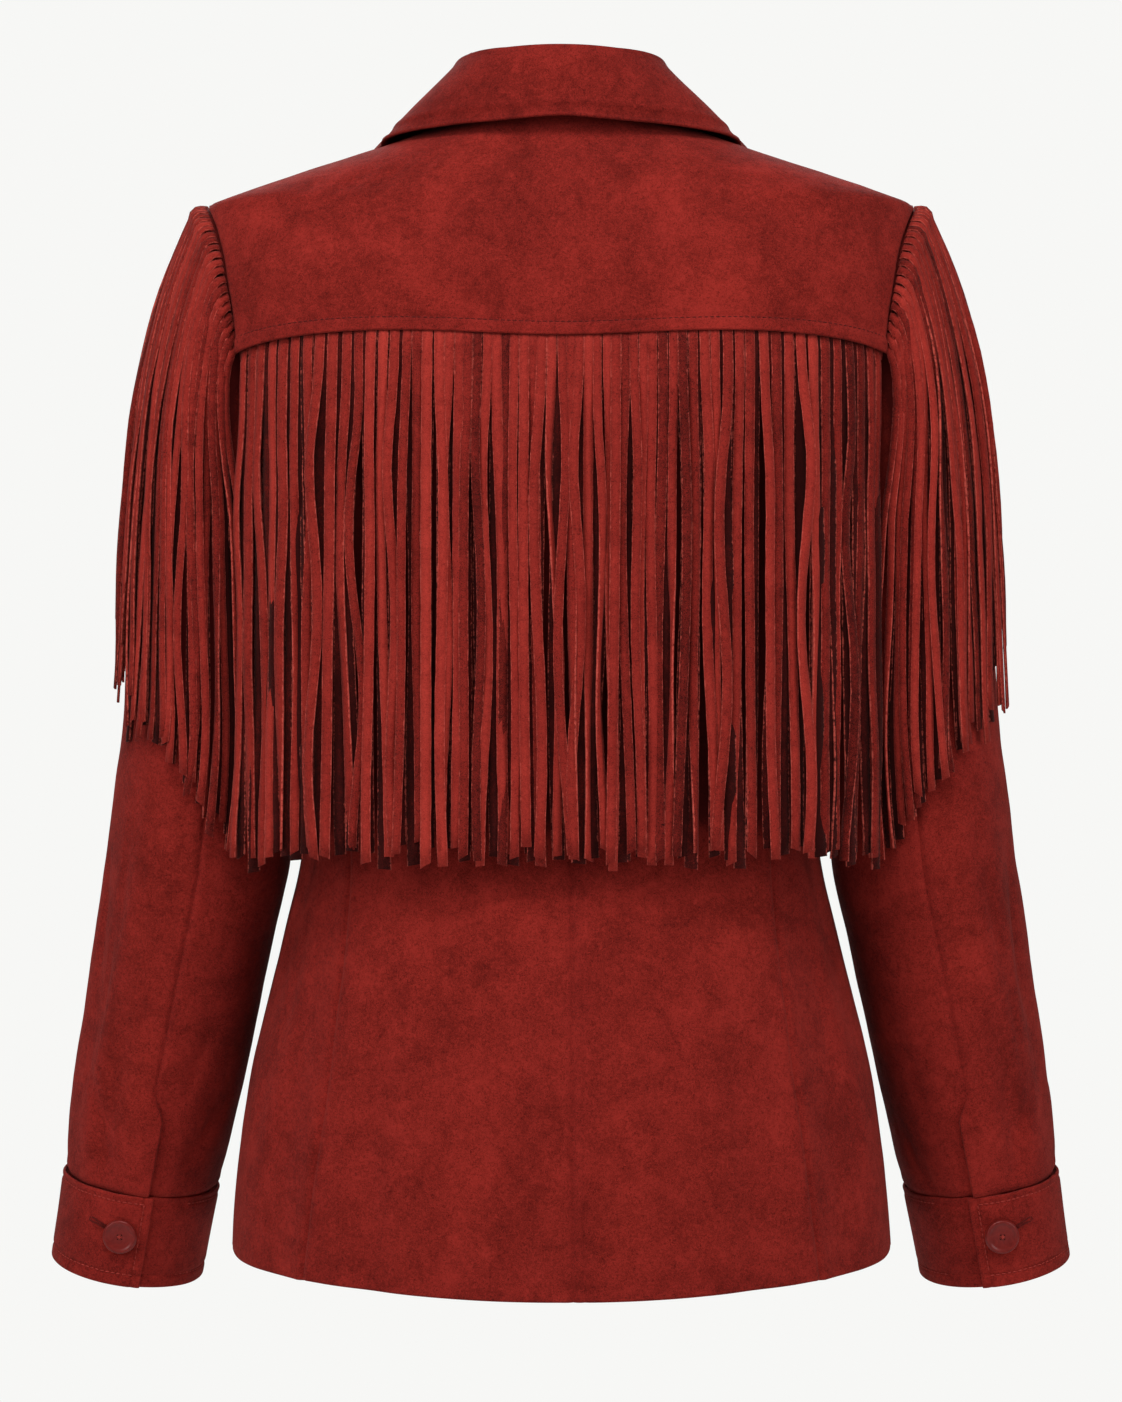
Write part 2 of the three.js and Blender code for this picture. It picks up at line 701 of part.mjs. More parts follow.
const sleeveFringe = {
  from: -0.08, to: 1.95, endFrom: -0.42, endTo: 1.75,
  stripStart: 0.075, stripEnd: 0.145,
  strandStart: 0.1,
  standOff: 1.2,
  shares: [0, 0.07, 0.16, 0.27, 0.42, 0.62, 1],
};

function sleeveStrand(index, layer) {
  const share = (index + layer.shift) / (fringe.sleeveCount - 0.5);
  const inset = sleeveStrands.endInset;
  const first = mix(sleeveFringe.from + inset, sleeveFringe.to - inset, share);
  const last = mix(sleeveFringe.endFrom, sleeveFringe.endTo, share);
  const angleAt = (along) => mix(first, last, THREE.MathUtils.smoothstep(along, 0, 1));
  const middle = (layer.inside + layer.outside) / 2;
  const length = fringe.length + sleeveStrands.lengthVaries * uneven(index, 4);
  const pathAt = (along) => onSleeve(angleAt(along), along, middle);
  const alongs = stepsByLength(pathAt, sleeveFringe.strandStart, length, sleeveFringe.shares);
  const stations = alongs.map((along) => {
    const angle = angleAt(along);
    const standing = sleeveFringe.standOff * Math.min(along, 1);
    const centre = onSleeve(angle, along, standing);
    const outward = onSleeve(angle, along, standing + 1).sub(centre);
    const next = along + sleeveStrands.step;
    const onward = onSleeve(angleAt(next), next, standing).sub(centre);
    const sideways = outward.clone().cross(onward).normalize();
    return { centre, sideways, outward };
  });
  const width = sleeveStrands.width + sleeveStrands.widthVaries * uneven(index, 5);
  return strand(stations.reverse(), width, layer.inside, layer.outside);
}

// Values along a path at given shares of a whole length
function stepsByLength(pathAt, start, length, shares) {
  const places = [];
  const stride = 0.005;
  let along = start;
  let walked = 0;
  while (places.length < shares.length) {
    if (walked >= length * shares[places.length]) places.push(along);
    walked += pathAt(along + stride).distanceTo(pathAt(along));
    along += stride;
  }
  return places;
}

function sleeveFringePiece() {
  const stripAngles = steps(sleeveFringe.from, sleeveFringe.to, 14);
  const alongs = [sleeveFringe.stripEnd, sleeveFringe.stripStart];
  const strip = wall(onSleeve, stripAngles, alongs, fringe.stripInside, fringe.stripOutside);
  const strands = fringe.layers.flatMap((layer) => {
    const count = fringe.sleeveCount - (layer.shift > 0 ? 1 : 0);
    return Array.from({ length: count }, (_, index) => sleeveStrand(index, layer));
  });
  return fuse([strip, ...strands]);
}

// The whole garment

function toMesh(name, geometry, look) {
  const mesh = new THREE.Mesh(geometry, new THREE.MeshStandardMaterial(look));
  mesh.name = name;
  return mesh;
}

const blazer = new THREE.Group();

function addPair(name, geometry, look) {
  blazer.add(toMesh(`${name}_L`, geometry, look));
  blazer.add(toMesh(`${name}_R`, mirrored(geometry), look));
}

blazer.add(toMesh('back_yoke', backYoke(), suede));
blazer.add(toMesh('back_centre_L', backCentre(-centreSeam), suede));
blazer.add(toMesh('back_centre_R', mirrored(backCentre(centreSeam)), suede));
addPair('back_side', backSide(), suede);
blazer.add(toMesh('front_L', front(false), suede));
blazer.add(toMesh('front_R', mirrored(front(true)), suede));
blazer.add(toMesh('lapel_L', lapelPiece(false), suede));
blazer.add(toMesh('lapel_R', mirrored(lapelPiece(true)), suede));
blazer.add(toMesh('collar', collarPiece(), suede));
addPair('upper_sleeve', sleeveHalf(0, Math.PI), suede);
addPair('under_sleeve', sleeveHalf(Math.PI, 2 * Math.PI), suede);
addPair('cuff', cuffPiece(), suede);
addPair('fringe_sleeve', sleeveFringePiece(), fringeSuede);
blazer.add(toMesh('fringe_back', backFringe(), fringeSuede));

const cuffButton = { share: 0.052, along: 2.063 };
const cuffSeat = cuffAt(cuffButton.share, cuffButton.along, 0);
const cuffOutward = cuffAt(cuffButton.share, cuffButton.along, 1).sub(cuffSeat).normalize();
for (const [suffix, sign] of [['L', 1], ['R', -1]]) {
  const flip = new THREE.Vector3(sign, 1, 1);
  const seat = cuffSeat.clone().multiply(flip);
  const outward = cuffOutward.clone().multiply(flip);
  blazer.add(placedButton(`cuff_button_${suffix}`, seat, outward, seamGap));
}

frontButtons.heights.forEach((height, index) => {
  const seat = onTorso(Math.PI, height, lapLift(Math.PI, true));
  const outward = normalOf(torsoSurface, Math.PI, height, 1);
  const name = `${frontButtons.name}_${index + 1}`;
  blazer.add(placedButton(name, seat, outward, frontButtons.clearance));
});

export default blazer;
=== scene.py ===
import math
import random
from bisect import bisect_right
from functools import lru_cache

import bmesh
import bpy
from mathutils import Matrix, Vector, noise


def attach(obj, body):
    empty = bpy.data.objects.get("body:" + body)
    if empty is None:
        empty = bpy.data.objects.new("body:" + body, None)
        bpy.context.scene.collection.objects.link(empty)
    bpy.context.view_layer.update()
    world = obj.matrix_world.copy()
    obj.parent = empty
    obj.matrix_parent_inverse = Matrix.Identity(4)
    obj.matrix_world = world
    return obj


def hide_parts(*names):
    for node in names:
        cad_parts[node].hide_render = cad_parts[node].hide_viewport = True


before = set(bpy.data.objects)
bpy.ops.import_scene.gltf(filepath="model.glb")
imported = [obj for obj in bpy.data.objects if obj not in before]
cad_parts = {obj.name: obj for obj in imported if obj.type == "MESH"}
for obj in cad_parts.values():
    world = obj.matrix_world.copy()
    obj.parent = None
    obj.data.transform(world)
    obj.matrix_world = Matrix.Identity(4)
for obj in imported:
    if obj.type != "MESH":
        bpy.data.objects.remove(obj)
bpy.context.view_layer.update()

random.seed(7)
rightAngle = math.pi / 2
clothThickness = 0.0018

# Camera

cameraSettings = {"distance": 2.2, "height": -0.3335, "metresPerPixel": 0.00058, "imageHeight": 1402}


def makeCamera(settings):
    data = bpy.data.cameras.new("studioCamera")
    data.sensor_width = 36
    shownHeight = settings["metresPerPixel"] * settings["imageHeight"]
    data.lens = data.sensor_width * settings["distance"] / shownHeight
    camera = bpy.data.objects.new("studioCamera", data)
    bpy.context.collection.objects.link(camera)
    camera.location = (0, settings["distance"], settings["height"])
    camera.rotation_euler = (rightAngle, 0, math.pi)
    bpy.context.scene.camera = camera


makeCamera(cameraSettings)
print("camera placed")

# Sections of the garment, repeated from the model in metres


def slopeOf(rows, column, index):
    before = rows[max(index - 1, 0)]
    here = rows[index]
    after = rows[min(index + 1, len(rows) - 1)]
    if before is here or here is after:
        return (after[column] - before[column]) / (after[0] - before[0])
    below = (here[column] - before[column]) / (here[0] - before[0])
    above = (after[column] - here[column]) / (after[0] - here[0])
    return 2 * below * above / (below + above) if below * above > 0 else 0


def tableReader(columns, rows):
    heights = [row[0] for row in rows]
    place = {name: index for index, name in enumerate(columns)}
    slopes = [[slopeOf(rows, column, index) if column else 0 for column in range(len(columns))]
              for index in range(len(rows))]

    @lru_cache(maxsize=None)
    def read(name, height):
        column = place[name]
        index = min(max(bisect_right(heights, height) - 1, 0), len(rows) - 2)
        low, high = rows[index], rows[index + 1]
        span = high[0] - low[0]
        t = min(max((height - low[0]) / span, 0), 1)
        arrive = t * t * (3 - 2 * t)
        leaving = t * (1 - t) ** 2 * span * slopes[index][column]
        arriving = t * t * (1 - t) * span * slopes[index + 1][column]
        return low[column] * (1 - arrive) + high[column] * arrive + leaving - arriving

    return read


readTorso = tableReader(("z", "halfWidth", "back", "front", "power"), [
    (-0.666, 0.191, 0.122, 0.126, 2.3),
    (-0.606, 0.1875, 0.122, 0.124, 2.3),
    (-0.560, 0.181, 0.120, 0.121, 2.3),
    (-0.513, 0.171, 0.115, 0.117, 2.3),
    (-0.460, 0.158, 0.107, 0.110, 2.3),
    (-0.423, 0.150, 0.101, 0.107, 2.3),
    (-0.385, 0.147, 0.099, 0.107, 2.3),
    (-0.350, 0.149, 0.100, 0.112, 2.3),
    (-0.300, 0.152, 0.106, 0.124, 2.3),
    (-0.250, 0.1555, 0.111, 0.134, 2.4),
    (-0.205, 0.164, 0.114, 0.136, 2.5),
    (-0.180, 0.178, 0.114, 0.132, 2.6),
    (-0.140, 0.195, 0.112, 0.124, 2.7),
    (-0.100, 0.204, 0.106, 0.115, 2.7),
    (-0.075, 0.206, 0.098, 0.108, 2.6),
    (-0.050, 0.204, 0.087, 0.097, 2.5),
    (-0.042, 0.186, 0.083, 0.091, 2.4),
    (-0.032, 0.157, 0.078, 0.084, 2.3),
    (-0.022, 0.127, 0.072, 0.076, 2.2),
    (-0.012, 0.098, 0.067, 0.067, 2.1),
    (-0.004, 0.075, 0.063, 0.060, 2.1),
    (0.003, 0.066, 0.060, 0.056, 2.1),
])

readSleeve = tableReader(("z", "x", "y", "halfWidth", "halfDepth"), [
    (-0.668, 0.257, -0.046, 0.0426, 0.050),
    (-0.614, 0.2476, -0.0425, 0.0442, 0.052),
    (-0.596, 0.2444, -0.0395, 0.0468, 0.053),
    (-0.538, 0.2332, -0.030, 0.0498, 0.056),
    (-0.479, 0.2218, -0.020, 0.0515, 0.0592),
    (-0.426, 0.2118, -0.0124, 0.0532, 0.062),
    (-0.333, 0.204, -0.005, 0.049, 0.063),
    (-0.240, 0.2045, -0.002, 0.0435, 0.062),
])

readPrincess = tableReader(("z", "x"), [
    (-0.666, 0.146),
    (-0.600, 0.138),
    (-0.520, 0.128),
    (-0.430, 0.119),
    (-0.300, 0.122),
    (-0.130, 0.142),
])

# Half of the collar from the centre back to its point
readCollar = tableReader(("place", "turn", "seam", "stand", "lean", "fallTurn", "fallZ", "clear"), [
    (-1, -0.5, 0.0034, 0.0335, 0.003, -0.55, -0.013, 0.009),
    (0, 0, 0.0042, 0.033, 0.001, 0, -0.011, 0.012),
    (1, 0.5, 0.0034, 0.0335, 0.003, 0.55, -0.013, 0.009),
    (2, 1.05, 0.0008, 0.0345, 0.0105, 1.1, -0.0145, 0.006),
    (3, 1.57, -0.0016, 0.0345, 0.0155, 1.57, -0.014, 0.0035),
    (4, 1.95, -0.003, 0.0285, 0.0125, 1.93, -0.030, 0.004),
    (5, 2.3, -0.020, 0.020, 0.003, 2.1, -0.052, 0.0035),
    (6, 2.47, -0.046, 0.005, 0, 2.12, -0.070, 0.0035),
])

armhole = {"middle": -0.1265, "halfHeight": 0.0785, "backSpread": 0.32, "frontSpread": 0.38}
neck = {"point": -0.004, "back": 0.002}
hem = {"side": -0.649, "dip": 0.0145}
sleeve = {"bicep": -0.240, "cuffTop": -0.614, "tilt": 0.006, "backTilt": 0.005, "inset": 0.0012,
          "lift": 0.0008, "capRun": 0.32, "capDrop": 1, "seamTurn": -0.13, "seamTurnBelow": -0.08,
          "bendFrom": 1.4, "bendTo": 1.85}
cuff = {"depth": 0.052, "proud": 0.0017, "thickness": 0.0022, "start": -0.29, "overlap": 0.45,
        "lapGap": 0.0005, "meanRadius": 0.050, "gap": 0.0003, "topStitch": 0.0040,
        "bottomStitch": 0.0072, "lapStitch": 0.0060, "wave": 0.0007, "waveScale": 30}
yoke = {"centre": -0.1325, "rise": 0.017, "fall": 0.0215, "cornerTurn": 1.256, "edgeLift": 0.0031,
        "upperLift": 0.0004, "fade": 0.016, "bandHeight": 0.0075, "tuck": 0.0045,
        "bandLift": 0.0013, "thickness": 0.0021}
breast = {"lap": 0.020, "breakPoint": -0.300, "neckX": 0.058, "curve": 0.9, "lift": 0.00135,
          "blendFrom": math.pi - 0.48, "blendTo": math.pi - 0.22}
lapel = {"overBottom": -0.292, "underBottom": -0.226, "top": -0.062, "widest": 0.078,
         "bulge": 0.003, "lift": 0.0005, "topDrop": 0.026, "fullness": 1.15,
         "meanWidth": 0.07, "meanLength": 0.21}
centreSeam = 0.055


def mix(low, high, share):
    return low + (high - low) * share


def evenly(start, end, count):
    return [mix(start, end, step / count) for step in range(count + 1)]


def mirrored(point, side):
    return Vector((point.x * side, point.y, point.z))


def smooth(low, high, value):
    t = min(max((value - low) / (high - low), 0), 1)
    return t * t * (3 - 2 * t)


def bump(distance, width):
    return math.exp(-(distance / width) ** 2)


# Folds: a turn or angle, its spread, the middle height, the reach and the depth

torsoFolds = [
    (1.13, 0.10, -0.560, 0.105, 0.005),
    (0.80, 0.08, -0.600, 0.080, 0.0035),
    (1.34, 0.09, -0.470, 0.070, 0.003),
    (2.05, 0.11, -0.560, 0.100, 0.0035),
    (2.50, 0.10, -0.590, 0.080, 0.0020),
]
sleeveFolds = [
    (1.05, 0.20, -0.500, 0.075, 0.004),
    (0.45, 0.16, -0.570, 0.045, 0.003),
    (2.20, 0.20, -0.430, 0.070, 0.004),
    (4.20, 0.20, -0.470, 0.060, 0.003),
]

# Creases: from one turn and height to another, then width and depth, where a ridge is negative

torsoCreases = [
    (1.02, -0.47, 0.92, -0.62, 0.007, 0.0018),
    (1.22, -0.44, 1.30, -0.60, 0.006, 0.0016),
    (0.62, -0.43, 0.56, -0.56, 0.010, 0.0010),
    (0.30, -0.50, 0.26, -0.64, 0.014, 0.0012),
    (1.42, -0.40, 1.15, -0.36, 0.006, 0.0016),
    (1.45, -0.43, 1.05, -0.40, 0.005, -0.0010),
    (2.10, -0.30, 2.45, -0.26, 0.009, 0.0016),
    (1.80, -0.42, 1.95, -0.58, 0.008, 0.0018),
    (2.60, -0.38, 2.30, -0.36, 0.007, 0.0014),
    (2.75, -0.47, 2.85, -0.62, 0.010, 0.0016),
    (1.75, -0.22, 2.20, -0.21, 0.008, 0.0012),
    (0.75, -0.03, 1.25, -0.055, 0.010, 0.0012),
    (0.40, -0.02, 0.80, -0.085, 0.014, 0.0012),
]
sleeveCreases = [
    (0.70, -0.39, 0.95, -0.56, 0.0050, 0.0022),
    (1.25, -0.41, 1.15, -0.50, 0.0045, 0.0018),
    (0.45, -0.585, 0.95, -0.545, 0.0045, 0.0020),
    (0.30, -0.600, 0.75, -0.580, 0.0040, 0.0016),
    (5.75, -0.60, 5.20, -0.555, 0.0050, 0.0020),
    (5.95, -0.57, 5.60, -0.50, 0.0050, 0.0014),
    (1.60, -0.55, 2.20, -0.50, 0.0060, 0.0022),
    (2.60, -0.45, 2.10, -0.39, 0.0070, 0.0026),
    (3.30, -0.42, 2.80, -0.38, 0.0070, 0.0026),
    (3.60, -0.47, 3.00, -0.44, 0.0060, 0.0022),
    (4.40, -0.35, 3.70, -0.33, 0.0070, 0.0020),
    (0.20, -0.44, 0.55, -0.47, 0.0060, 0.0012),
    (2.40, -0.59, 3.10, -0.56, 0.0050, 0.0020),
]


def foldDepth(folds, turn, z):
    return sum(depth * math.exp(-((turn - at) / spread) ** 2 - ((z - middle) / reach) ** 2)
               for at, spread, middle, reach, depth in folds)


def creaseDepth(creases, turn, z, radius):
    total = 0
    for fromTurn, fromZ, toTurn, toZ, width, depth in creases:
        if not min(fromZ, toZ) - 3 * width < z < max(fromZ, toZ) + 3 * width:
            continue
        runX, runZ = (toTurn - fromTurn) * radius, toZ - fromZ
        offX, offZ = (turn - fromTurn) * radius, z - fromZ
        share = (offX * runX + offZ * runZ) / (runX ** 2 + runZ ** 2)
        inside = min(max(share, 0), 1)
        gap = math.hypot(offX - inside * runX, offZ - inside * runZ)
        if gap < 3 * width:
            wander = 0.75 + 0.25 * math.sin(7 * share + 40 * turn)
            total += depth * wander * bump(gap, width) * (0.15 + 0.85 * math.sin(math.pi * inside))
    return total


# The garment's surfaces


def torsoPoint(turn, z):
    power = readTorso("power", z)
    depth = readTorso("back" if math.cos(turn) > 0 else "front", z)
    across = abs(math.sin(turn)) / readTorso("halfWidth", z)
    inward = abs(math.cos(turn)) / depth
    radius = (across ** power + inward ** power) ** (-1 / power)
    radius -= foldDepth(torsoFolds, abs(turn), z)
    return Vector((radius * math.sin(turn), radius * math.cos(turn), z))


def onTorso(turn, z, lift):
    across = torsoPoint(turn + 0.004, z) - torsoPoint(turn - 0.004, z)
    up = torsoPoint(turn, z + 0.001) - torsoPoint(turn, z - 0.001)
    return torsoPoint(turn, z) + up.cross(across).normalized() * lift


def armholeBite(z):
    level = (z - armhole["middle"]) / armhole["halfHeight"]
    return math.sqrt(1 - level * level) if abs(level) < 1 else 0


def backEdge(z):
    return rightAngle - armhole["backSpread"] * armholeBite(z)


def frontEdge(z):
    return rightAngle + armhole["frontSpread"] * armholeBite(z)


def sleeveRing(angle, z):
    drop = (sleeve["bicep"] - z) / (sleeve["bicep"] - sleeve["cuffTop"])
    drawn = foldDepth(sleeveFolds, angle % math.tau, z)
    return Vector((
        readSleeve("x", z) + (readSleeve("halfWidth", z) - drawn) * math.sin(angle),
        readSleeve("y", z) + (readSleeve("halfDepth", z) - drawn) * math.cos(angle),
        z + drop * (sleeve["tilt"] * math.sin(angle) - sleeve["backTilt"] * math.cos(angle))))


@lru_cache(maxsize=None)
def capEnds(angle):
    share = 1 - sleeve["inset"] / armhole["halfHeight"]
    spread = armhole["backSpread" if math.cos(angle) > 0 else "frontSpread"]
    turn = rightAngle - spread * share * math.cos(angle)
    z = armhole["middle"] + armhole["halfHeight"] * share * math.sin(angle)
    return onTorso(turn, z, sleeve["lift"]), sleeveRing(angle, sleeve["bicep"])


def sleevePoint(angle, along):
    if along >= 1:
        return sleeveRing(angle, sleeve["bicep"] + (along - 1) * (sleeve["cuffTop"] - sleeve["bicep"]))
    start, end = capEnds(round(angle, 5))
    distance = (start - end).length
    leave = Vector((0.93, 0.3 * math.cos(angle), -0.3 * max(math.sin(angle), 0)))
    arrive = Vector((0.03, 0, -1))
    t = along
    blend = t * t * (3 - 2 * t)
    return (start * (1 - blend) + end * blend
            + leave * (t * (1 - t) ** 2 * distance * sleeve["capRun"])
            - arrive * (t * t * (1 - t) * distance * sleeve["capDrop"]))


def onSleeve(angle, along, lift):
    above = max(along - 0.004, 0)
    across = sleevePoint(angle + 0.004, along) - sleevePoint(angle - 0.004, along)
    up = sleevePoint(angle, above) - sleevePoint(angle, along + 0.004)
    return sleevePoint(angle, along) + up.cross(across).normalized() * lift


def seamTurn(along):
    below = smooth(sleeve["bendFrom"], sleeve["bendTo"], along)
    return mix(sleeve["seamTurn"], sleeve["seamTurnBelow"], below)


def hemHeight(turn):
    return hem["side"] - hem["dip"] * abs(math.cos(turn))


def yokeEdge(turn):
    side = (turn / yoke["cornerTurn"]) ** 2
    return yoke["centre"] + yoke["rise"] * side - yoke["fall"] * side * side


@lru_cache(maxsize=None)
def turnAtX(x, z, low, high):
    rising = 1 if high < 2 else -1
    for _ in range(26):
        middle = (low + high) / 2
        if (torsoPoint(middle, z).x - x) * rising > 0:
            high = middle
        else:
            low = middle
    return (low + high) / 2


@lru_cache(maxsize=None)
def princessTurn(z):
    return turnAtX(readPrincess("x", z), z, 0, rightAngle)


@lru_cache(maxsize=None)
def breastTurn(z):
    rise = max((z - breast["breakPoint"]) / (neck["point"] - breast["breakPoint"]), 0)
    x = (breast["neckX"] + breast["lap"]) * rise ** breast["curve"] - breast["lap"]
    return turnAtX(x, z, rightAngle, math.pi * 1.2)


# How cloth behaves at its edges

clothEdges = {"seamDepth": 0.0011, "seamWidth": 0.0016, "swell": 0.00045, "swellAt": 0.0045,
              "swellWidth": 0.0025, "rollRadius": 0.0013, "stitchDepth": 0.00070,
              "stitchWidth": 0.0013, "tuck": 0.0003, "centreStitch": 0.0066, "frontStitch": 0.0075}


def seamDip(distance):
    settings = clothEdges
    dip = settings["seamDepth"] * bump(distance, settings["seamWidth"])
    swell = settings["swell"] * bump(distance - settings["swellAt"], settings["swellWidth"])
    return swell - dip


def turnedEdge(distance):
    radius = clothEdges["rollRadius"]
    inside = min(max(distance, 0), radius)
    return math.sqrt(radius ** 2 - (radius - inside) ** 2) - radius


def stitchDip(distance):
    return -clothEdges["stitchDepth"] * bump(distance, clothEdges["stitchWidth"])


def handWave(point, strength, scale):
    return strength * noise.noise(Vector(point) * scale)


# Node groups that the finishes share


def newGroup(name, inputs, outputs):
    group = bpy.data.node_groups.new(name, "ShaderNodeTree")
    for label, kind, value in inputs:
        socket = group.interface.new_socket(label, in_out="INPUT", socket_type=kind)
        if value is not None:
            socket.default_value = value
    for label, kind in outputs:
        group.interface.new_socket(label, in_out="OUTPUT", socket_type=kind)
    return group, group.nodes.new("NodeGroupInput"), group.nodes.new("NodeGroupOutput")


def addNode(tree, kind, sockets=None, **values):
    node = tree.nodes.new(kind)
    for name, value in values.items():
        setattr(node, name, value)
    for socket, source in (sockets or {}).items():
        if isinstance(source, bpy.types.NodeSocket):
            tree.links.new(source, node.inputs[socket])
        else:
            node.inputs[socket].default_value = source
    return node


def addMaths(tree, operation, *values):
    return addNode(tree, "ShaderNodeMath", dict(enumerate(values)), operation=operation).outputs[0]


def addNoise(tree, vector, scale, detail, roughness, distortion):
    return addNode(tree, "ShaderNodeTexNoise", {
        "Vector": vector, "Scale": scale, "Detail": detail, "Roughness": roughness,
        "Distortion": distortion}).outputs["Fac"]


# Scales are times the blotch size, and the shares are how much each noise counts
mottleMix = {"cloudScale": 3.7, "fleckScale": 24, "blotchShare": 0.62, "cloudShare": 0.58,
             "fleckShare": 0.85, "middle": 1.025}
napMix = {"tuftScale": 0.3, "curlShare": 0.6, "fibreSharpness": 7}


def makeMottleGroup():
    group, given, result = newGroup("suedeMottle", [
        ("Vector", "NodeSocketVector", None), ("Blotch Size", "NodeSocketFloat", 13),
        ("Contrast", "NodeSocketFloat", 1)], [("Tone", "NodeSocketFloat")])
    vector, size = given.outputs["Vector"], given.outputs["Blotch Size"]
    blotches = addNoise(group, vector, size, 3, 0.55, 0.7)
    cloudSize = addMaths(group, "MULTIPLY", size, mottleMix["cloudScale"])
    fleckSize = addMaths(group, "MULTIPLY", size, mottleMix["fleckScale"])
    clouds = addNoise(group, vector, cloudSize, 4, 0.62, 0.9)
    flecks = addNoise(group, vector, fleckSize, 3, 0.7, 1.2)
    broad = addMaths(group, "MULTIPLY_ADD", clouds, mottleMix["cloudShare"],
                     addMaths(group, "MULTIPLY", blotches, mottleMix["blotchShare"]))
    whole = addMaths(group, "MULTIPLY_ADD", flecks, mottleMix["fleckShare"], broad)
    centred = addMaths(group, "SUBTRACT", whole, mottleMix["middle"])
    tone = addMaths(group, "MULTIPLY_ADD", centred, given.outputs["Contrast"], 0.5)
    group.links.new(addNode(group, "ShaderNodeClamp", {"Value": tone}).outputs[0],
                    result.inputs["Tone"])
    return group


def makeNapGroup():
    group, given, result = newGroup("suedeNap", [
        ("Vector", "NodeSocketVector", None), ("Fineness", "NodeSocketFloat", 620)],
        [("Height", "NodeSocketFloat"), ("Fibre", "NodeSocketFloat")])
    vector, fineness = given.outputs["Vector"], given.outputs["Fineness"]
    curls = addNoise(group, vector, fineness, 3, 0.65, 2.6)
    tuftSize = addMaths(group, "MULTIPLY", fineness, napMix["tuftScale"])
    tufts = addNoise(group, vector, tuftSize, 3, 0.6, 1.5)
    ridged = addMaths(group, "ABSOLUTE", addMaths(group, "SUBTRACT", curls, 0.5))
    fibre = addMaths(group, "MULTIPLY_ADD", ridged, -napMix["fibreSharpness"], 1)
    group.links.new(addNode(group, "ShaderNodeClamp", {"Value": fibre}).outputs[0],
                    result.inputs["Fibre"])
    height = addMaths(group, "MULTIPLY_ADD", curls, napMix["curlShare"], tufts)
    group.links.new(height, result.inputs["Height"])
    return group


mottleGroup = makeMottleGroup()
napGroup = makeNapGroup()

# Finishes

# The last value is how far the painted shade under the fringe and on the collar darkens the cloth.
suedeLook = {"dark": (0.062, 0.0036, 0.0026, 1), "middle": (0.148, 0.0092, 0.0063, 1),
             "light": (0.250, 0.0180, 0.0125, 1), "blotchSize": 20, "contrast": 1.15,
             "fleck": 0.50, "paintedShadeAmount": 0.62}
fringeLook = {"dark": (0.022, 0.0015, 0.0011, 1), "middle": (0.186, 0.0129, 0.0089, 1),
              "light": (0.340, 0.0310, 0.0215, 1), "blotchSize": 26, "contrast": 0.55,
              "fleck": 0.36}
suedeCoat = {"tones": (0.12, 0.5, 0.92), "rough": 0.98, "smoother": 0.12, "nap": 0.9,
             "napDepth": 0.0007}
suedeShine = {"Specular IOR Level": 0.08, "Sheen Weight": 0.04, "Sheen Roughness": 0.45,
              "Sheen Tint": (1, 0.45, 0.40, 1)}
rawEdge = {"colour": (0.50, 0.080, 0.058, 1), "scale": 420, "tornShare": 0.90, "from": 1.31,
           "full": 1.52, "strength": 0.78}
buttonLook = {"dark": (0.096, 0.0062, 0.0046, 1), "light": (0.140, 0.0100, 0.0074, 1),
              "swirl": 160, "rubbed": 900, "rough": 0.30, "roughVaries": 0.10}
buttonShine = {"Specular IOR Level": 0.16, "Coat Weight": 0.05, "Coat Roughness": 0.12}
threadLook = {"twist": 1400, "bump": 0.5, "bumpDepth": 0.0002}
threadShine = {"Roughness": 0.8, "Specular IOR Level": 0.1}


def newMaterial(name, shine):
    material = bpy.data.materials.new(name)
    material.use_nodes = True
    tree = material.node_tree
    shader = tree.nodes["Principled BSDF"]
    for socket, value in shine.items():
        shader.inputs[socket].default_value = value
    place = addNode(tree, "ShaderNodeTexCoord").outputs["Object"]
    return material, tree, shader.inputs, place


def addRamp(tree, value, *stops):
    ramp = addNode(tree, "ShaderNodeValToRGB", {"Fac": value})
    elements = ramp.color_ramp.elements
    elements[0].position, elements[0].color = stops[0]
    elements[1].position, elements[1].color = stops[-1]
    for position, colour in stops[1:-1]:
        elements.new(position).color = colour
    return ramp.outputs["Color"]


def addAttribute(tree, name):
    return addNode(tree, "ShaderNodeAttribute", attribute_name=name).outputs["Fac"]


def addBump(tree, height, strength, depth):
    return addNode(tree, "ShaderNodeBump", {
        "Height": height, "Strength": strength, "Distance": depth}).outputs["Normal"]


def addRawEdges(tree, place, colour):
    torn = addNoise(tree, place, rawEdge["scale"], 3, 0.6, 0.8)
    worn = addNode(tree, "ShaderNodeMapRange", {
        "Value": addMaths(tree, "MULTIPLY_ADD", torn, rawEdge["tornShare"],
                          addAttribute(tree, "rawEdge")),
        "From Min": rawEdge["from"], "From Max": rawEdge["full"], "To Min": 0,
        "To Max": rawEdge["strength"]})
    return addNode(tree, "ShaderNodeMix", {0: worn.outputs["Result"], 6: colour,
                                           7: rawEdge["colour"]}, data_type="RGBA").outputs[2]


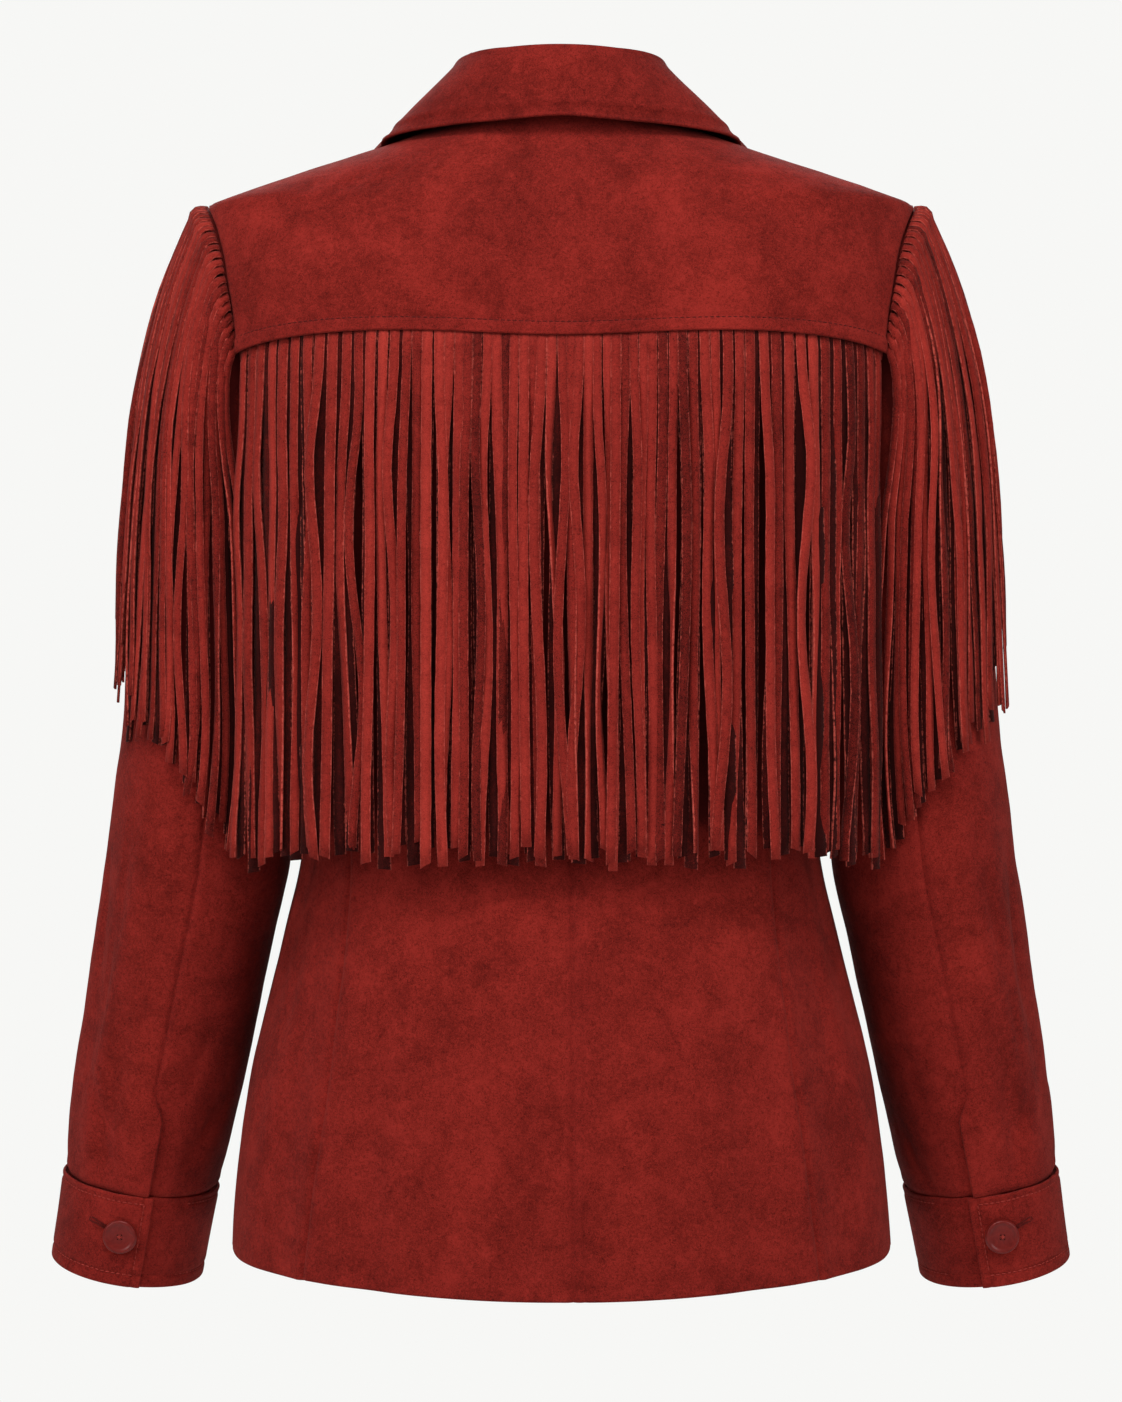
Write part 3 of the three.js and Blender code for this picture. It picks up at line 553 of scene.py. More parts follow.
def makeSuede(name, look, stranded=False):
    material, tree, sockets, place = newMaterial(name, suedeShine)
    mottle = addNode(tree, "ShaderNodeGroup", node_tree=mottleGroup)
    tree.links.new(place, mottle.inputs["Vector"])
    mottle.inputs["Blotch Size"].default_value = look["blotchSize"]
    mottle.inputs["Contrast"].default_value = look["contrast"]
    nap = addNode(tree, "ShaderNodeGroup", node_tree=napGroup)
    tree.links.new(place, nap.inputs["Vector"])
    tone = mottle.outputs["Tone"]
    if stranded:
        # Each strand's own tone, plus painted shade on the under layer.
        tone = addMaths(tree, "ADD", tone, addAttribute(tree, "strandToneAndShade"))
    else:
        # Painted shade: a per-point value darkens the body cloth under the fringe and the whole
        # collar.
        paintedShadeAmount = addAttribute(tree, "paintedShade")
        tone = addMaths(tree, "MULTIPLY_ADD", paintedShadeAmount, -look["paintedShadeAmount"], tone)
    flecked = addMaths(tree, "MULTIPLY_ADD", nap.outputs["Fibre"], look["fleck"],
                       addMaths(tree, "SUBTRACT", tone, look["fleck"] / 2))
    low, middle, high = suedeCoat["tones"]
    colour = addRamp(tree, flecked, (low, look["dark"]), (middle, look["middle"]),
                     (high, look["light"]))
    if stranded:
        colour = addRawEdges(tree, place, colour)
    rough = addMaths(tree, "MULTIPLY_ADD", mottle.outputs["Tone"], -suedeCoat["smoother"],
                     suedeCoat["rough"])
    tree.links.new(colour, sockets["Base Color"])
    tree.links.new(rough, sockets["Roughness"])
    tree.links.new(addBump(tree, nap.outputs["Height"], suedeCoat["nap"], suedeCoat["napDepth"]),
                   sockets["Normal"])
    return material


def makeGlossyRed(name):
    material, tree, sockets, place = newMaterial(name, buttonShine)
    swirl = addNoise(tree, place, buttonLook["swirl"], 3, 0.6, 2.2)
    rubbed = addNoise(tree, place, buttonLook["rubbed"], 2, 0.5, 0)
    rough = addMaths(tree, "MULTIPLY_ADD", rubbed, buttonLook["roughVaries"], buttonLook["rough"])
    tree.links.new(addRamp(tree, swirl, (0.3, buttonLook["dark"]), (0.7, buttonLook["light"])),
                   sockets["Base Color"])
    tree.links.new(rough, sockets["Roughness"])
    return material


def makeThread(name, dark, light):
    material, tree, sockets, place = newMaterial(name, threadShine)
    twist = addNoise(tree, place, threadLook["twist"], 2, 0.6, 1.5)
    tree.links.new(addRamp(tree, twist, (0.35, dark), (0.65, light)), sockets["Base Color"])
    tree.links.new(addBump(tree, twist, threadLook["bump"], threadLook["bumpDepth"]),
                   sockets["Normal"])
    return material


suede = makeSuede("suede", suedeLook)
fringeSuede = makeSuede("fringeSuede", fringeLook, stranded=True)
glossyRed = makeGlossyRed("glossyRed")
sewingThread = makeThread("sewingThread", (0.150, 0.012, 0.009, 1), (0.360, 0.046, 0.034, 1))
darkThread = makeThread("darkThread", (0.030, 0.003, 0.002, 1), (0.110, 0.010, 0.008, 1))
holeShade = makeThread("holeShade", (0.012, 0.002, 0.002, 1), (0.024, 0.004, 0.004, 1))
print("finishes made")

# Cloth pieces from a grid whose two values run along the garment's surfaces

seamOffsets = [0, 0.0005, 0.0011, 0.0018, 0.0028, 0.0045]
stitchedOffsets = [0, 0.0002, 0.0005, 0.0009, 0.0014, 0.0024, 0.0038, 0.0052, 0.0062, 0.0069,
                   0.0075, 0.0081, 0.0090, 0.0105]


def graded(lowOffsets, highOffsets, count):
    first, last = lowOffsets[-1], highOffsets[-1]
    low = [(0, offset) for offset in lowOffsets]
    high = [(1, -offset) for offset in reversed(highOffsets)]
    middle = [(step / count, mix(first, -last, step / count)) for step in range(1, count)]
    return low + middle + high


def gridMesh(bm, across, up, pointAt, flip=False, shadeAt=None):
    # shadeAt gives painted shade, stored on each point.
    shadeLayer = bm.verts.layers.float.new("paintedShade") if shadeAt else None
    made = bmesh.ops.create_grid(bm, x_segments=len(across) - 1, y_segments=len(up) - 1, size=0.5)
    for vert in made["verts"]:
        column = round((vert.co.x + 0.5) * (len(across) - 1))
        row = round((vert.co.y + 0.5) * (len(up) - 1))
        vert.co = pointAt(across[column], up[row])
        if shadeAt:
            vert[shadeLayer] = shadeAt(across[column], up[row], vert.co)
    faces = list({face for vert in made["verts"] for face in vert.link_faces})
    if not flip:
        bmesh.ops.reverse_faces(bm, faces=faces)
    return made["verts"]


def finishPiece(name, bm, material, nodes=(), thickness=0, smoothShaded=True):
    mesh = bpy.data.meshes.new(name)
    bm.to_mesh(mesh)
    bm.free()
    piece = bpy.data.objects.new(name, mesh)
    bpy.context.collection.objects.link(piece)
    mesh.materials.append(material)
    if smoothShaded:
        mesh.shade_smooth()
    if thickness:
        wall = piece.modifiers.new("wall", "SOLIDIFY")
        wall.thickness = thickness
        wall.offset = -1
    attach(piece, "root")
    if nodes:
        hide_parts(*nodes)
    return piece


def finishSheet(name, bm, node, thickness=clothThickness, material=suede):
    piece = finishPiece(name, bm, material, [node], thickness)


# Body panels

bodyWaves = {"broad": 0.0009, "broadScale": 16, "fine": 0.0003, "fineScale": 55,
             "rightShift": 0.06, "rightDrop": 0.012, "rightShare": 0.85, "creases": 1.5}


def bodyDrape(turn, z):
    settings = bodyWaves
    right = turn < 0
    side = abs(turn) + (settings["rightShift"] if right else 0)
    height = z + (settings["rightDrop"] if right else 0)
    depth = settings["creases"] * creaseDepth(torsoCreases, side, height, 0.15)
    if right:
        depth *= settings["rightShare"]
    place = torsoPoint(turn, z)
    waves = handWave(place, settings["broad"], settings["broadScale"])
    return waves + handWave(place, settings["fine"], settings["fineScale"]) - depth


def torsoPanel(bm, panel):
    sign = panel.get("side", 1)
    edges = panel["edges"]
    liftAt = panel.get("lift", lambda turn, z: 0)

    def pointAt(across, row):
        share, sideOffset = across
        rise, riseOffset = row
        low, high = panel["low"](share), panel["high"](share)
        z = mix(low, high, rise) + riseOffset
        start, end = panel["from"](z), panel["to"](z)
        radius = torsoPoint(mix(start, end, share), z).xy.length
        width = (end - start) * radius
        gap = -clothEdges["tuck"] / radius
        turn = mix(start + gap, end - gap, share) + sideOffset / radius
        distances = {"start": share * width + sideOffset, "end": (1 - share) * width - sideOffset,
                     "low": z - low, "high": high - z}
        lift = liftAt(turn, z)
        for edge, kind in edges.items():
            if kind == "seam":
                lift += seamDip(distances[edge])
            else:
                lift += turnedEdge(distances[edge])
        for edge, distance in panel.get("stitches", {}).items():
            lift += stitchDip(distances[edge] - distance)
        lift += bodyDrape(turn * sign, z)
        return mirrored(onTorso(turn, z, lift), sign)

    gridMesh(bm, panel["columns"], panel["rows"], pointAt, flip=sign < 0,
             shadeAt=panel.get("shade"))


# Painted shade on the back panels, in the band where the fringe hangs over them.
def paintedShadeUnderBackFringe(across, row, point):
    return smooth(-0.412, -0.392, point.z) * smooth(-0.126, -0.136, point.z)


def princessTop():
    return princessTurn(round(yokeEdge(0.8), 5))


def yokeLift(turn, z):
    rise = z - yokeEdge(turn)
    band = yoke["bandLift"] * smooth(yoke["bandHeight"] + 0.001, yoke["bandHeight"] - 0.0007, rise)
    return mix(yoke["upperLift"], yoke["edgeLift"], math.exp(-max(rise, 0) / yoke["fade"])) + band


def yokeReach():
    level = (yokeEdge(yoke["cornerTurn"]) - armhole["middle"]) / armhole["halfHeight"]
    return backEdge(armhole["middle"] + armhole["halfHeight"] * level)


def makeBackYoke():
    bm = bmesh.new()
    reach = yokeReach()
    torsoPanel(bm, {
        "from": lambda z: -backEdge(z), "to": backEdge,
        "low": lambda share: yokeEdge((2 * share - 1) * reach),
        "high": lambda share: mix(neck["back"], neck["point"], (2 * share - 1) ** 2),
        "edges": {"start": "seam", "end": "seam", "low": "turned", "high": "seam"},
        "stitches": {"low": yoke["bandHeight"]}, "lift": yokeLift,
        "columns": graded(seamOffsets, seamOffsets, 130),
        "rows": graded(stitchedOffsets, seamOffsets, 44)})
    finishSheet("back_yoke_cloth", bm, "back_yoke", yoke["thickness"])


def makeBackCentre(side, suffix):
    bm = bmesh.new()
    centreTurn = -centreSeam * side
    torsoPanel(bm, {
        "side": side, "from": lambda z: centreTurn, "to": lambda z: princessTurn(round(z, 5)),
        "low": lambda share: hemHeight(mix(centreTurn, princessTurn(hem["side"]), share)),
        "high": lambda share: yokeEdge(mix(centreTurn, princessTop(), share)) + yoke["tuck"],
        "edges": {"start": "seam", "end": "seam", "low": "turned"}, "shade": paintedShadeUnderBackFringe,
        "stitches": {"start": clothEdges["centreStitch"]} if side < 0 else {},
        "columns": graded(stitchedOffsets if side < 0 else seamOffsets, seamOffsets, 36),
        "rows": graded(seamOffsets, seamOffsets, 150)})
    finishSheet(f"back_centre_cloth_{suffix}", bm, f"back_centre_{suffix}")


def makeBackSide(side, suffix):
    bm = bmesh.new()
    torsoPanel(bm, {
        "side": side, "from": lambda z: princessTurn(round(z, 5)), "to": backEdge,
        "low": lambda share: hemHeight(mix(princessTurn(hem["side"]), rightAngle, share)),
        "high": lambda share: yokeEdge(mix(princessTop(), yoke["cornerTurn"], share)) + yoke["tuck"],
        "edges": {"start": "seam", "end": "seam", "low": "turned"}, "shade": paintedShadeUnderBackFringe,
        "columns": graded(seamOffsets, seamOffsets, 26),
        "rows": graded(seamOffsets, seamOffsets, 150)})
    finishSheet(f"back_side_cloth_{suffix}", bm, f"back_side_{suffix}")


def lapLift(turn, over):
    near = smooth(breast["blendFrom"], breast["blendTo"], turn)
    return breast["lift"] * near * (1 if over else -1)


def makeFront(side, suffix, over):
    bm = bmesh.new()
    torsoPanel(bm, {
        "side": side, "from": frontEdge, "to": lambda z: breastTurn(round(z, 5)),
        "low": lambda share: hemHeight(mix(rightAngle, math.pi, share)),
        "high": lambda share: neck["point"],
        "edges": {"start": "seam", "end": "turned", "low": "turned", "high": "seam"},
        "stitches": {"end": clothEdges["frontStitch"]},
        "lift": lambda turn, z: lapLift(turn, over),
        "columns": graded(seamOffsets, stitchedOffsets, 50),
        "rows": graded(seamOffsets, seamOffsets, 170)})
    finishSheet(f"front_cloth_{suffix}", bm, f"front_{suffix}")


def lapelWidth(rise):
    return lapel["widest"] * math.sin(rise * rightAngle * 0.98 + 0.03) ** lapel["fullness"]


def lapelPoint(share, rise, depth, over):
    top = lapel["top"] - lapel["topDrop"] * share
    z = mix(lapel["overBottom"] if over else lapel["underBottom"], top, rise)
    roll = breastTurn(round(z, 5))
    turn = roll - share * lapelWidth(rise) / torsoPoint(roll, z).xy.length
    puff = lapel["bulge"] * math.sin(math.pi * min(share * 0.8 + 0.1, 1))
    return onTorso(turn, z, lapLift(turn, over) + lapel["lift"] + puff + depth)


def makeLapel(side, suffix, over):
    bm = bmesh.new()

    def pointAt(across, row):
        share = 1 - across[0] - across[1] / lapel["meanWidth"]
        rise = min(max(row[0] + row[1] / lapel["meanLength"], 0), 1)
        edge = (1 - share) * lapelWidth(rise)
        depth = clothThickness + turnedEdge(edge) + stitchDip(edge - clothEdges["frontStitch"])
        return mirrored(lapelPoint(min(max(share, 0), 1), rise, depth, over), side)

    gridMesh(bm, graded(stitchedOffsets, seamOffsets, 16), graded(seamOffsets, seamOffsets, 60),
             pointAt, flip=side < 0)
    finishSheet(f"lapel_cloth_{suffix}", bm, f"lapel_{suffix}")


makeBackYoke()
for side, suffix in ((1, "L"), (-1, "R")):
    makeBackCentre(side, suffix)
    makeBackSide(side, suffix)
    makeFront(side, suffix, over=side < 0)
    makeLapel(side, suffix, over=side < 0)
print("body panels made")

# Collar


def splinePoint(points, share):
    place = min(share, 0.999999) * (len(points) - 1)
    index = int(place)
    t = place - index
    second, third = points[index], points[index + 1]
    first = points[index - 1] if index else second * 2 - third
    fourth = points[index + 2] if index + 2 < len(points) else third * 2 - second
    before, here, after = [math.sqrt((b - a).length) for a, b in
                           ((first, second), (second, third), (third, fourth))]
    leave = ((second - first) / before - (third - first) / (before + here)
             + (third - second) / here) * here
    arrive = ((third - second) / here - (fourth - second) / (here + after)
              + (fourth - third) / after) * here
    return (second + leave * t + (third * 3 - second * 3 - leave * 2 - arrive) * t ** 2
            + (second * 2 - third * 2 + leave + arrive) * t ** 3)


collar = {"thickness": 0.002, "rollRadius": 0.0035, "seamLift": 0.0014, "belly": 0.0015,
          "innerShare": 0.4, "innerDrop": 1.4, "outerShare": 2.2, "bellyPlace": 0.55,
          "stitchFromEdge": 0.0070, "length": 0.072, "highestSeam": 0.003, "stepLength": 0.036,
          "band": 0.0007, "darker": 0.16, "tuckDrop": 0.0018, "tuckLift": 0.0022,
          "wave": 0.0012, "waveScale": 22, "lastPlace": 6}


@lru_cache(maxsize=None)
def collarProfile(place):
    side = abs(place)
    sign = math.copysign(1, place)
    read = {name: readCollar(name, side)
            for name in ("turn", "seam", "stand", "lean", "fallTurn", "fallZ", "clear")}
    seam = onTorso(read["turn"] * sign, min(read["seam"], collar["highestSeam"]),
                   collar["seamLift"])
    seam.z = max(seam.z, read["seam"])
    outward = Vector((seam.x, seam.y, 0)).normalized()
    up = Vector((0, 0, 1))
    radius = collar["rollRadius"]
    crest = seam - outward * read["lean"] + up * read["stand"]
    fall = onTorso(read["fallTurn"] * sign, read["fallZ"], read["clear"])
    inner = crest - outward * radius * collar["innerShare"] - up * radius * collar["innerDrop"]
    outer = crest + outward * radius * collar["outerShare"] - up * radius * collar["innerDrop"]
    belly = outer.lerp(fall, collar["bellyPlace"]) + outward * collar["belly"]
    return seam, inner, crest + outward * radius, outer, belly, fall


def collarSurface(place, share):
    return splinePoint(collarProfile(round(place, 5)), share)


def collarPoint(place, share):
    small = 0.002
    low, high = max(share - small, 0), min(share + small, 1)
    onward = collarSurface(place + small, share) - collarSurface(place - small, share)
    up = collarSurface(place, high) - collarSurface(place, low)
    toEdge = (1 - share) * collar["length"]
    toEnd = (collar["lastPlace"] - abs(place)) * collar["stepLength"]
    point = collarSurface(place, share)
    lift = collar["thickness"] + turnedEdge(toEdge) + turnedEdge(toEnd)
    lift += stitchDip(toEdge - collar["stitchFromEdge"])
    lift += collar["band"] * smooth(0.0085, 0.0060, toEdge) * smooth(0, 0.002, toEdge)
    wave = handWave(point, collar["wave"], collar["waveScale"])
    lift += wave * smooth(0, 0.3, share) * smooth(1, 0.8, share)
    return point, up.cross(onward).normalized(), lift


# The collar's seam allowance, lying on the yoke and the fronts under the fall
def collarAllowance(place):
    side = abs(place)
    drop = collar["tuckDrop"] * smooth(collar["lastPlace"], collar["lastPlace"] - 1, side)
    height = min(readCollar("seam", side), collar["highestSeam"]) - drop
    turn = math.copysign(readCollar("turn", side), place)
    return onTorso(turn, height, collar["tuckLift"])


def makeCollar():
    bm = bmesh.new()

    def pointAt(across, row):
        last = collar["lastPlace"]
        place = mix(-last, last, across[0]) + across[1] / collar["stepLength"]
        place = min(max(place, -last), last)
        if row[0] == 0 and row[1] < 0:
            return collarAllowance(place)
        share = min(max(row[0] + row[1] / collar["length"], 0), 1)
        point, normal, lift = collarPoint(place, share)
        return point + normal * lift

    # Painted shade: the whole collar is drawn darker than the yoke.
    gridMesh(bm, graded(seamOffsets, seamOffsets, 150),
             [(0, -collar["tuckDrop"])] + graded(seamOffsets, stitchedOffsets, 30),
             pointAt, shadeAt=lambda across, row, point: collar["darker"])
    finishSheet("collar_cloth", bm, "collar", collar["thickness"])


makeCollar()
print("collar made")

# Sleeves

sleeveWaves = {"broad": 0.0011, "broadScale": 20, "fine": 0.0003, "fineScale": 60,
               "rightShift": 0.15, "rightDrop": 0.014, "rightShare": 0.85, "creases": 1.5}
vent = {"start": 1.845, "full": 1.885, "overlap": 0.13, "lift": 0.0024, "reach": 0.34,
        "tuckFrom": 1.80, "tuck": 0.09, "sink": 0.0016}
cuffTuck = {"depth": 0.006, "ledge": 0.0002, "sink": 0.0036}
sleeveLap = {"turn": 0.004, "sink": -0.0036, "step": 0.0016, "flange": (0.0008, 0.0016, 0.0050)}
sleeveLength = sleeve["bicep"] - sleeve["cuffTop"]
sleeveMean = 0.053
sleeveShade = {"edge": -0.38, "rise": 0.06, "fade": 0.04}


def sleeveDrape(angle, along, side):
    settings = sleeveWaves
    place = sleevePoint(angle, along)
    place.x *= side
    lift = handWave(place, settings["broad"], settings["broadScale"])
    lift += handWave(place, settings["fine"], settings["fineScale"])
    if along <= 1:
        return lift
    z = sleeve["bicep"] - (along - 1) * sleeveLength
    right = side < 0
    shifted = (angle + (settings["rightShift"] if right else 0)) % math.tau
    depth = creaseDepth(sleeveCreases, shifted, z + (settings["rightDrop"] if right else 0), 0.05)
    return lift - settings["creases"] * depth * (settings["rightShare"] if right else 1)


# The sleeve's seam allowance, tucked under the body's edge
def flangePoint(angle, beyond):
    share = 1 + (beyond - sleeve["inset"]) / armhole["halfHeight"]
    spread = armhole["backSpread" if math.cos(angle) > 0 else "frontSpread"]
    lift = mix(sleeve["lift"], sleeveLap["sink"], smooth(0, sleeveLap["step"], beyond))
    return onTorso(rightAngle - spread * share * math.cos(angle),
                   armhole["middle"] + armhole["halfHeight"] * share * math.sin(angle), lift)


def makeSleeveHalf(name, start, end, side, suffix, vented):
    bm = bmesh.new()
    width = (end - start) * sleeveMean

    def angleAt(across, along):
        share = across[0] + across[1] / (end - start) / sleeveMean
        over = sleeveLap["turn"]
        return start + seamTurn(along) - over + share * (end - start + 2 * over)

    def pointAt(across, row):
        fromStart = across[0] * width + across[1]
        fromEnd = width - fromStart
        along = max(2 * (1 - row[0]) - row[1] / sleeveLength, 0)
        angle = angleAt(across, along)
        if row[0] == 0 and row[1] < 0:
            lift = sleeveDrape(angle, 2, side) - cuffTuck["sink"]
            return mirrored(onSleeve(angle, along, lift), side)
        if row[0] == 1 and row[1] > 0:
            return mirrored(flangePoint(angle, row[1]), side)
        lift = seamDip(fromEnd) + seamDip((2 - along) * sleeveLength) + sleeveDrape(angle, along, side)
        opened = smooth(vent["start"], vent["full"], along) if vented else 0
        lift += seamDip(fromStart) * (1 - opened) + turnedEdge(fromStart) * opened
        near = smooth(vent["reach"], 0, angle - seamTurn(along))
        lift += vent["lift"] * opened * near
        angle -= vent["overlap"] * opened * near
        if not vented:
            tucked = smooth(vent["tuckFrom"], vent["start"], along)
            tucked *= smooth(vent["reach"], 0.1, end + seamTurn(along) - angle)
            angle += vent["tuck"] * tucked
            lift -= vent["sink"] * tucked
        return mirrored(onSleeve(angle, along, lift), side)

    # Painted shade on the sleeve, where the arm fringe hangs over it.
    def shadeAt(across, row, point):
        along = min(max(2 * (1 - row[0]), 0), 2)
        angle = (angleAt(across, along) + math.pi) % math.tau - math.pi
        edge = sleeveShade["edge"] + sleeveShade["rise"] * angle
        shade = smooth(-0.45, -0.36, angle) * smooth(1.95, 1.80, angle)
        return shade * smooth(edge, edge + sleeveShade["fade"], point.z)

    tuckRows = [(0, -cuffTuck["depth"]), (0, -cuffTuck["ledge"])]
    flangeRows = [(1, beyond) for beyond in sleeveLap["flange"]]
    gridMesh(bm, graded(seamOffsets, seamOffsets, 46),
             tuckRows + graded(seamOffsets, seamOffsets, 170) + flangeRows,
             pointAt, flip=side < 0, shadeAt=shadeAt)
    finishSheet(f"{name}_cloth_{suffix}", bm, f"{name}_{suffix}")


def cuffLift(share):
    under = smooth(0.7, 1 - cuff["overlap"] / math.tau, share)
    return cuff["proud"] - under * (cuff["thickness"] + cuff["lapGap"])


cuffAround = (math.tau + cuff["overlap"]) * cuff["meanRadius"]


def cuffAlong(fromTop):
    return 2 + (fromTop + cuff["gap"]) / sleeveLength


def cuffPoint(share, along, depth):
    angle = mix(cuff["start"], cuff["start"] + math.tau + cuff["overlap"], share)
    return onSleeve(angle, along, cuffLift(share) + depth)


def makeCuff(side, suffix):
    bm = bmesh.new()

    def pointAt(across, row):
        share = min(max(across[0] + across[1] / cuffAround, 0), 1)
        fromLap = share * cuffAround
        fromTop = (1 - row[0]) * cuff["depth"] - row[1]
        along = cuffAlong(fromTop)
        fromBottom = cuff["depth"] - fromTop
        lift = turnedEdge(fromLap) + turnedEdge(fromTop) + turnedEdge(fromBottom)
        for distance, edge in ((fromTop, "topStitch"), (fromBottom, "bottomStitch"),
                               (fromLap, "lapStitch")):
            lift += stitchDip(distance - cuff[edge])
        place = mirrored(cuffPoint(share, along, 0), side)
        lift += handWave(place, cuff["wave"], cuff["waveScale"])
        return mirrored(cuffPoint(share, along, lift), side)

    gridMesh(bm, graded(stitchedOffsets, seamOffsets, 110), graded(stitchedOffsets,
             stitchedOffsets, 8), pointAt, flip=side < 0)
    finishSheet(f"cuff_cloth_{suffix}", bm, f"cuff_{suffix}",
                cuff["thickness"])


for side, suffix in ((1, "L"), (-1, "R")):
    makeSleeveHalf("upper_sleeve", 0, math.pi, side, suffix, True)
    makeSleeveHalf("under_sleeve", math.pi, math.tau, side, suffix, False)
    makeCuff(side, suffix)
print("sleeves and cuffs made")

# Fringe: a narrow strip, a main layer of strands and a layer under it, painted darker as shade

strandCut = {"rows": 26, "thickness": 0.0012, "length": 0.288, "curl": 0.0004,
             "raggedness": 0.05, "stripTone": -0.10, "meanRadius": 0.055}
rootSteps = [0, 0.0015, 0.003, 0.005, 0.008, 0.012]
mainHabit = {"sway": 0.0017, "lean": 0.0024, "length": 0.0036, "widthVaries": 0.08, "tone": 0.0,
             "toneVaries": 0.115, "twisted": 0.34, "forward": 0.0036, "back": 0.0005}
# The under layer's low tone is painted shade, as if the main strands shaded it; the random spread is
# each strand's own tone.
underHabit = {"sway": 0.0008, "lean": 0.0016, "length": 0.0045, "widthVaries": 0.06, "tone": -0.465,
              "toneVaries": 0.05, "twisted": 0.10, "forward": 0.0005, "back": 0.0002}


def addStrand(bm, stations, width, habit):
    toneLayer = bm.verts.layers.float["strandToneAndShade"]
    edgeLayer = bm.verts.layers.float["rawEdge"]
    made = bmesh.ops.create_grid(bm, x_segments=2, y_segments=len(stations) - 1, size=0.5)
    for vert in made["verts"]:
        side = round(vert.co.x * 2)
        row = round((0.5 - vert.co.y) * (len(stations) - 1))
        centre, sideways, outward, twist, scale = stations[row]
        across = sideways * math.cos(twist) + outward * math.sin(twist)
        proud = outward * math.cos(twist) - sideways * math.sin(twist)
        vert.co = centre + across * (side * width * scale / 2) - proud * abs(side) * strandCut["curl"]
        if row == len(stations) - 1:
            vert.co.z += side * habit["tipCut"]
        vert[toneLayer] = habit["tone"]
        vert[edgeLayer] = abs(side)
    faces = list({face for vert in made["verts"] for face in vert.link_faces})
    bmesh.ops.reverse_faces(bm, faces=faces)


def newFringeMesh():
    bm = bmesh.new()
    bm.verts.layers.float.new("strandToneAndShade")
    bm.verts.layers.float.new("rawEdge")
    return bm


def strandHabit(kind):
    twisted = random.random() < kind["twisted"]
    proud = kind["forward"] if random.random() < 0.5 else kind["back"]
    return {
        "sway": random.gauss(0, kind["sway"]), "swayTurns": random.uniform(0.6, 1.7),
        "phase": random.uniform(0, math.tau), "lean": random.gauss(0, kind["lean"]),
        "wave": random.uniform(0.0001, 0.0006), "length": random.gauss(0, kind["length"]),
        "width": random.gauss(1, kind["widthVaries"]),
        "tone": random.gauss(kind["tone"], kind["toneVaries"]),
        "twist": random.choice((-1, 1)) * random.uniform(0.6, 1.3) if twisted else 0,
        "twistAt": random.uniform(0.35, 1.0), "ripple": random.gauss(0, 0.14),
        "proud": proud * random.uniform(0.7, 1.3), "ragged": random.uniform(20, 34),
        "tipCut": random.gauss(0, 0.0009),
    }


def swayAt(habit, fallen):
    return math.sin(habit["swayTurns"] * math.tau * fallen + habit["phase"])


def standAt(habit, fallen, free):
    wave = habit["wave"] * math.sin(3 * math.tau * fallen + habit["phase"])
    return free * (habit["proud"] + wave)


def strandTwist(habit, fallen):
    turned = habit["twist"] * bump(fallen - habit["twistAt"], 0.22)
    return (turned + habit["ripple"] * swayAt(habit, fallen)) * smooth(0.02, 0.16, fallen)


def raggedAt(habit, fallen):
    return 1 + strandCut["raggedness"] * math.sin(habit["ragged"] * fallen * 3 + habit["phase"])


def sleeveBehind(x, z):
    height = min(z, sleeve["bicep"])
    across = (abs(x) - readSleeve("x", height)) / (readSleeve("halfWidth", height) + clothThickness)
    if abs(across) >= 1:
        return 0
    return readSleeve("y", height) + readSleeve("halfDepth", height) * math.sqrt(1 - across ** 2)


def bodyBehind(x, z):
    power = readTorso("power", z)
    across = abs(x) / readTorso("halfWidth", z)
    return readTorso("back", z) * (1 - across ** power) ** (1 / power) if across < 1 else 0


backFringe = {"counts": (45, 61), "depths": (0.0013, 0.0025), "widths": (0.0068, 0.0051),
              "crowding": (0.80, 0.95), "stripDepth": 0.0045, "stripLift": 0.0012,
              "standOff": 0.0012, "rootRise": 0.0035, "gapFillers": (0.1405, 0.1455, 0.1510)}


def strandTurn(index, layer):
    count = backFringe["counts"][layer]
    place = (index + 0.5 + random.uniform(-0.10, 0.10)) / count * 2 - 1
    reach = yoke["cornerTurn"] - 0.020
    return reach * math.copysign(abs(place) ** backFringe["crowding"][layer], place)


def addBackStrand(bm, turn, layer):
    habit = strandHabit(mainHabit if layer else underHabit)
    edge = yokeEdge(turn)
    normal = onTorso(turn, edge, 0.001) - torsoPoint(turn, edge)
    outward = Vector((normal.x, normal.y, 0)).normalized()
    sideways = Vector((-outward.y, outward.x, 0))
    length = strandCut["length"] + habit["length"]
    root = torsoPoint(turn, edge - 0.006)
    held = root.y
    stations = []
    for step in range(strandCut["rows"]):
        fallen = step / (strandCut["rows"] - 1)
        z = edge + backFringe["rootRise"] * (1 - fallen) - length * fallen
        drift = habit["sway"] * (swayAt(habit, fallen) - swayAt(habit, 0))
        x = root.x + drift * smooth(0, 0.3, fallen) + habit["lean"] * fallen ** 1.5
        if fallen > 0.04:
            held = max(held, max(bodyBehind(x, z), sleeveBehind(x, z)) + backFringe["standOff"])
        free = smooth(0.02, 0.30, fallen)
        depth = mix(0.0006, backFringe["depths"][layer], smooth(0, 0.05, fallen))
        depth += standAt(habit, fallen, free)
        centre = Vector((x, held, z)) + outward * depth
        stations.append((centre, sideways, outward, strandTwist(habit, fallen),
                         raggedAt(habit, fallen)))
    addStrand(bm, stations, backFringe["widths"][layer] * habit["width"], habit)


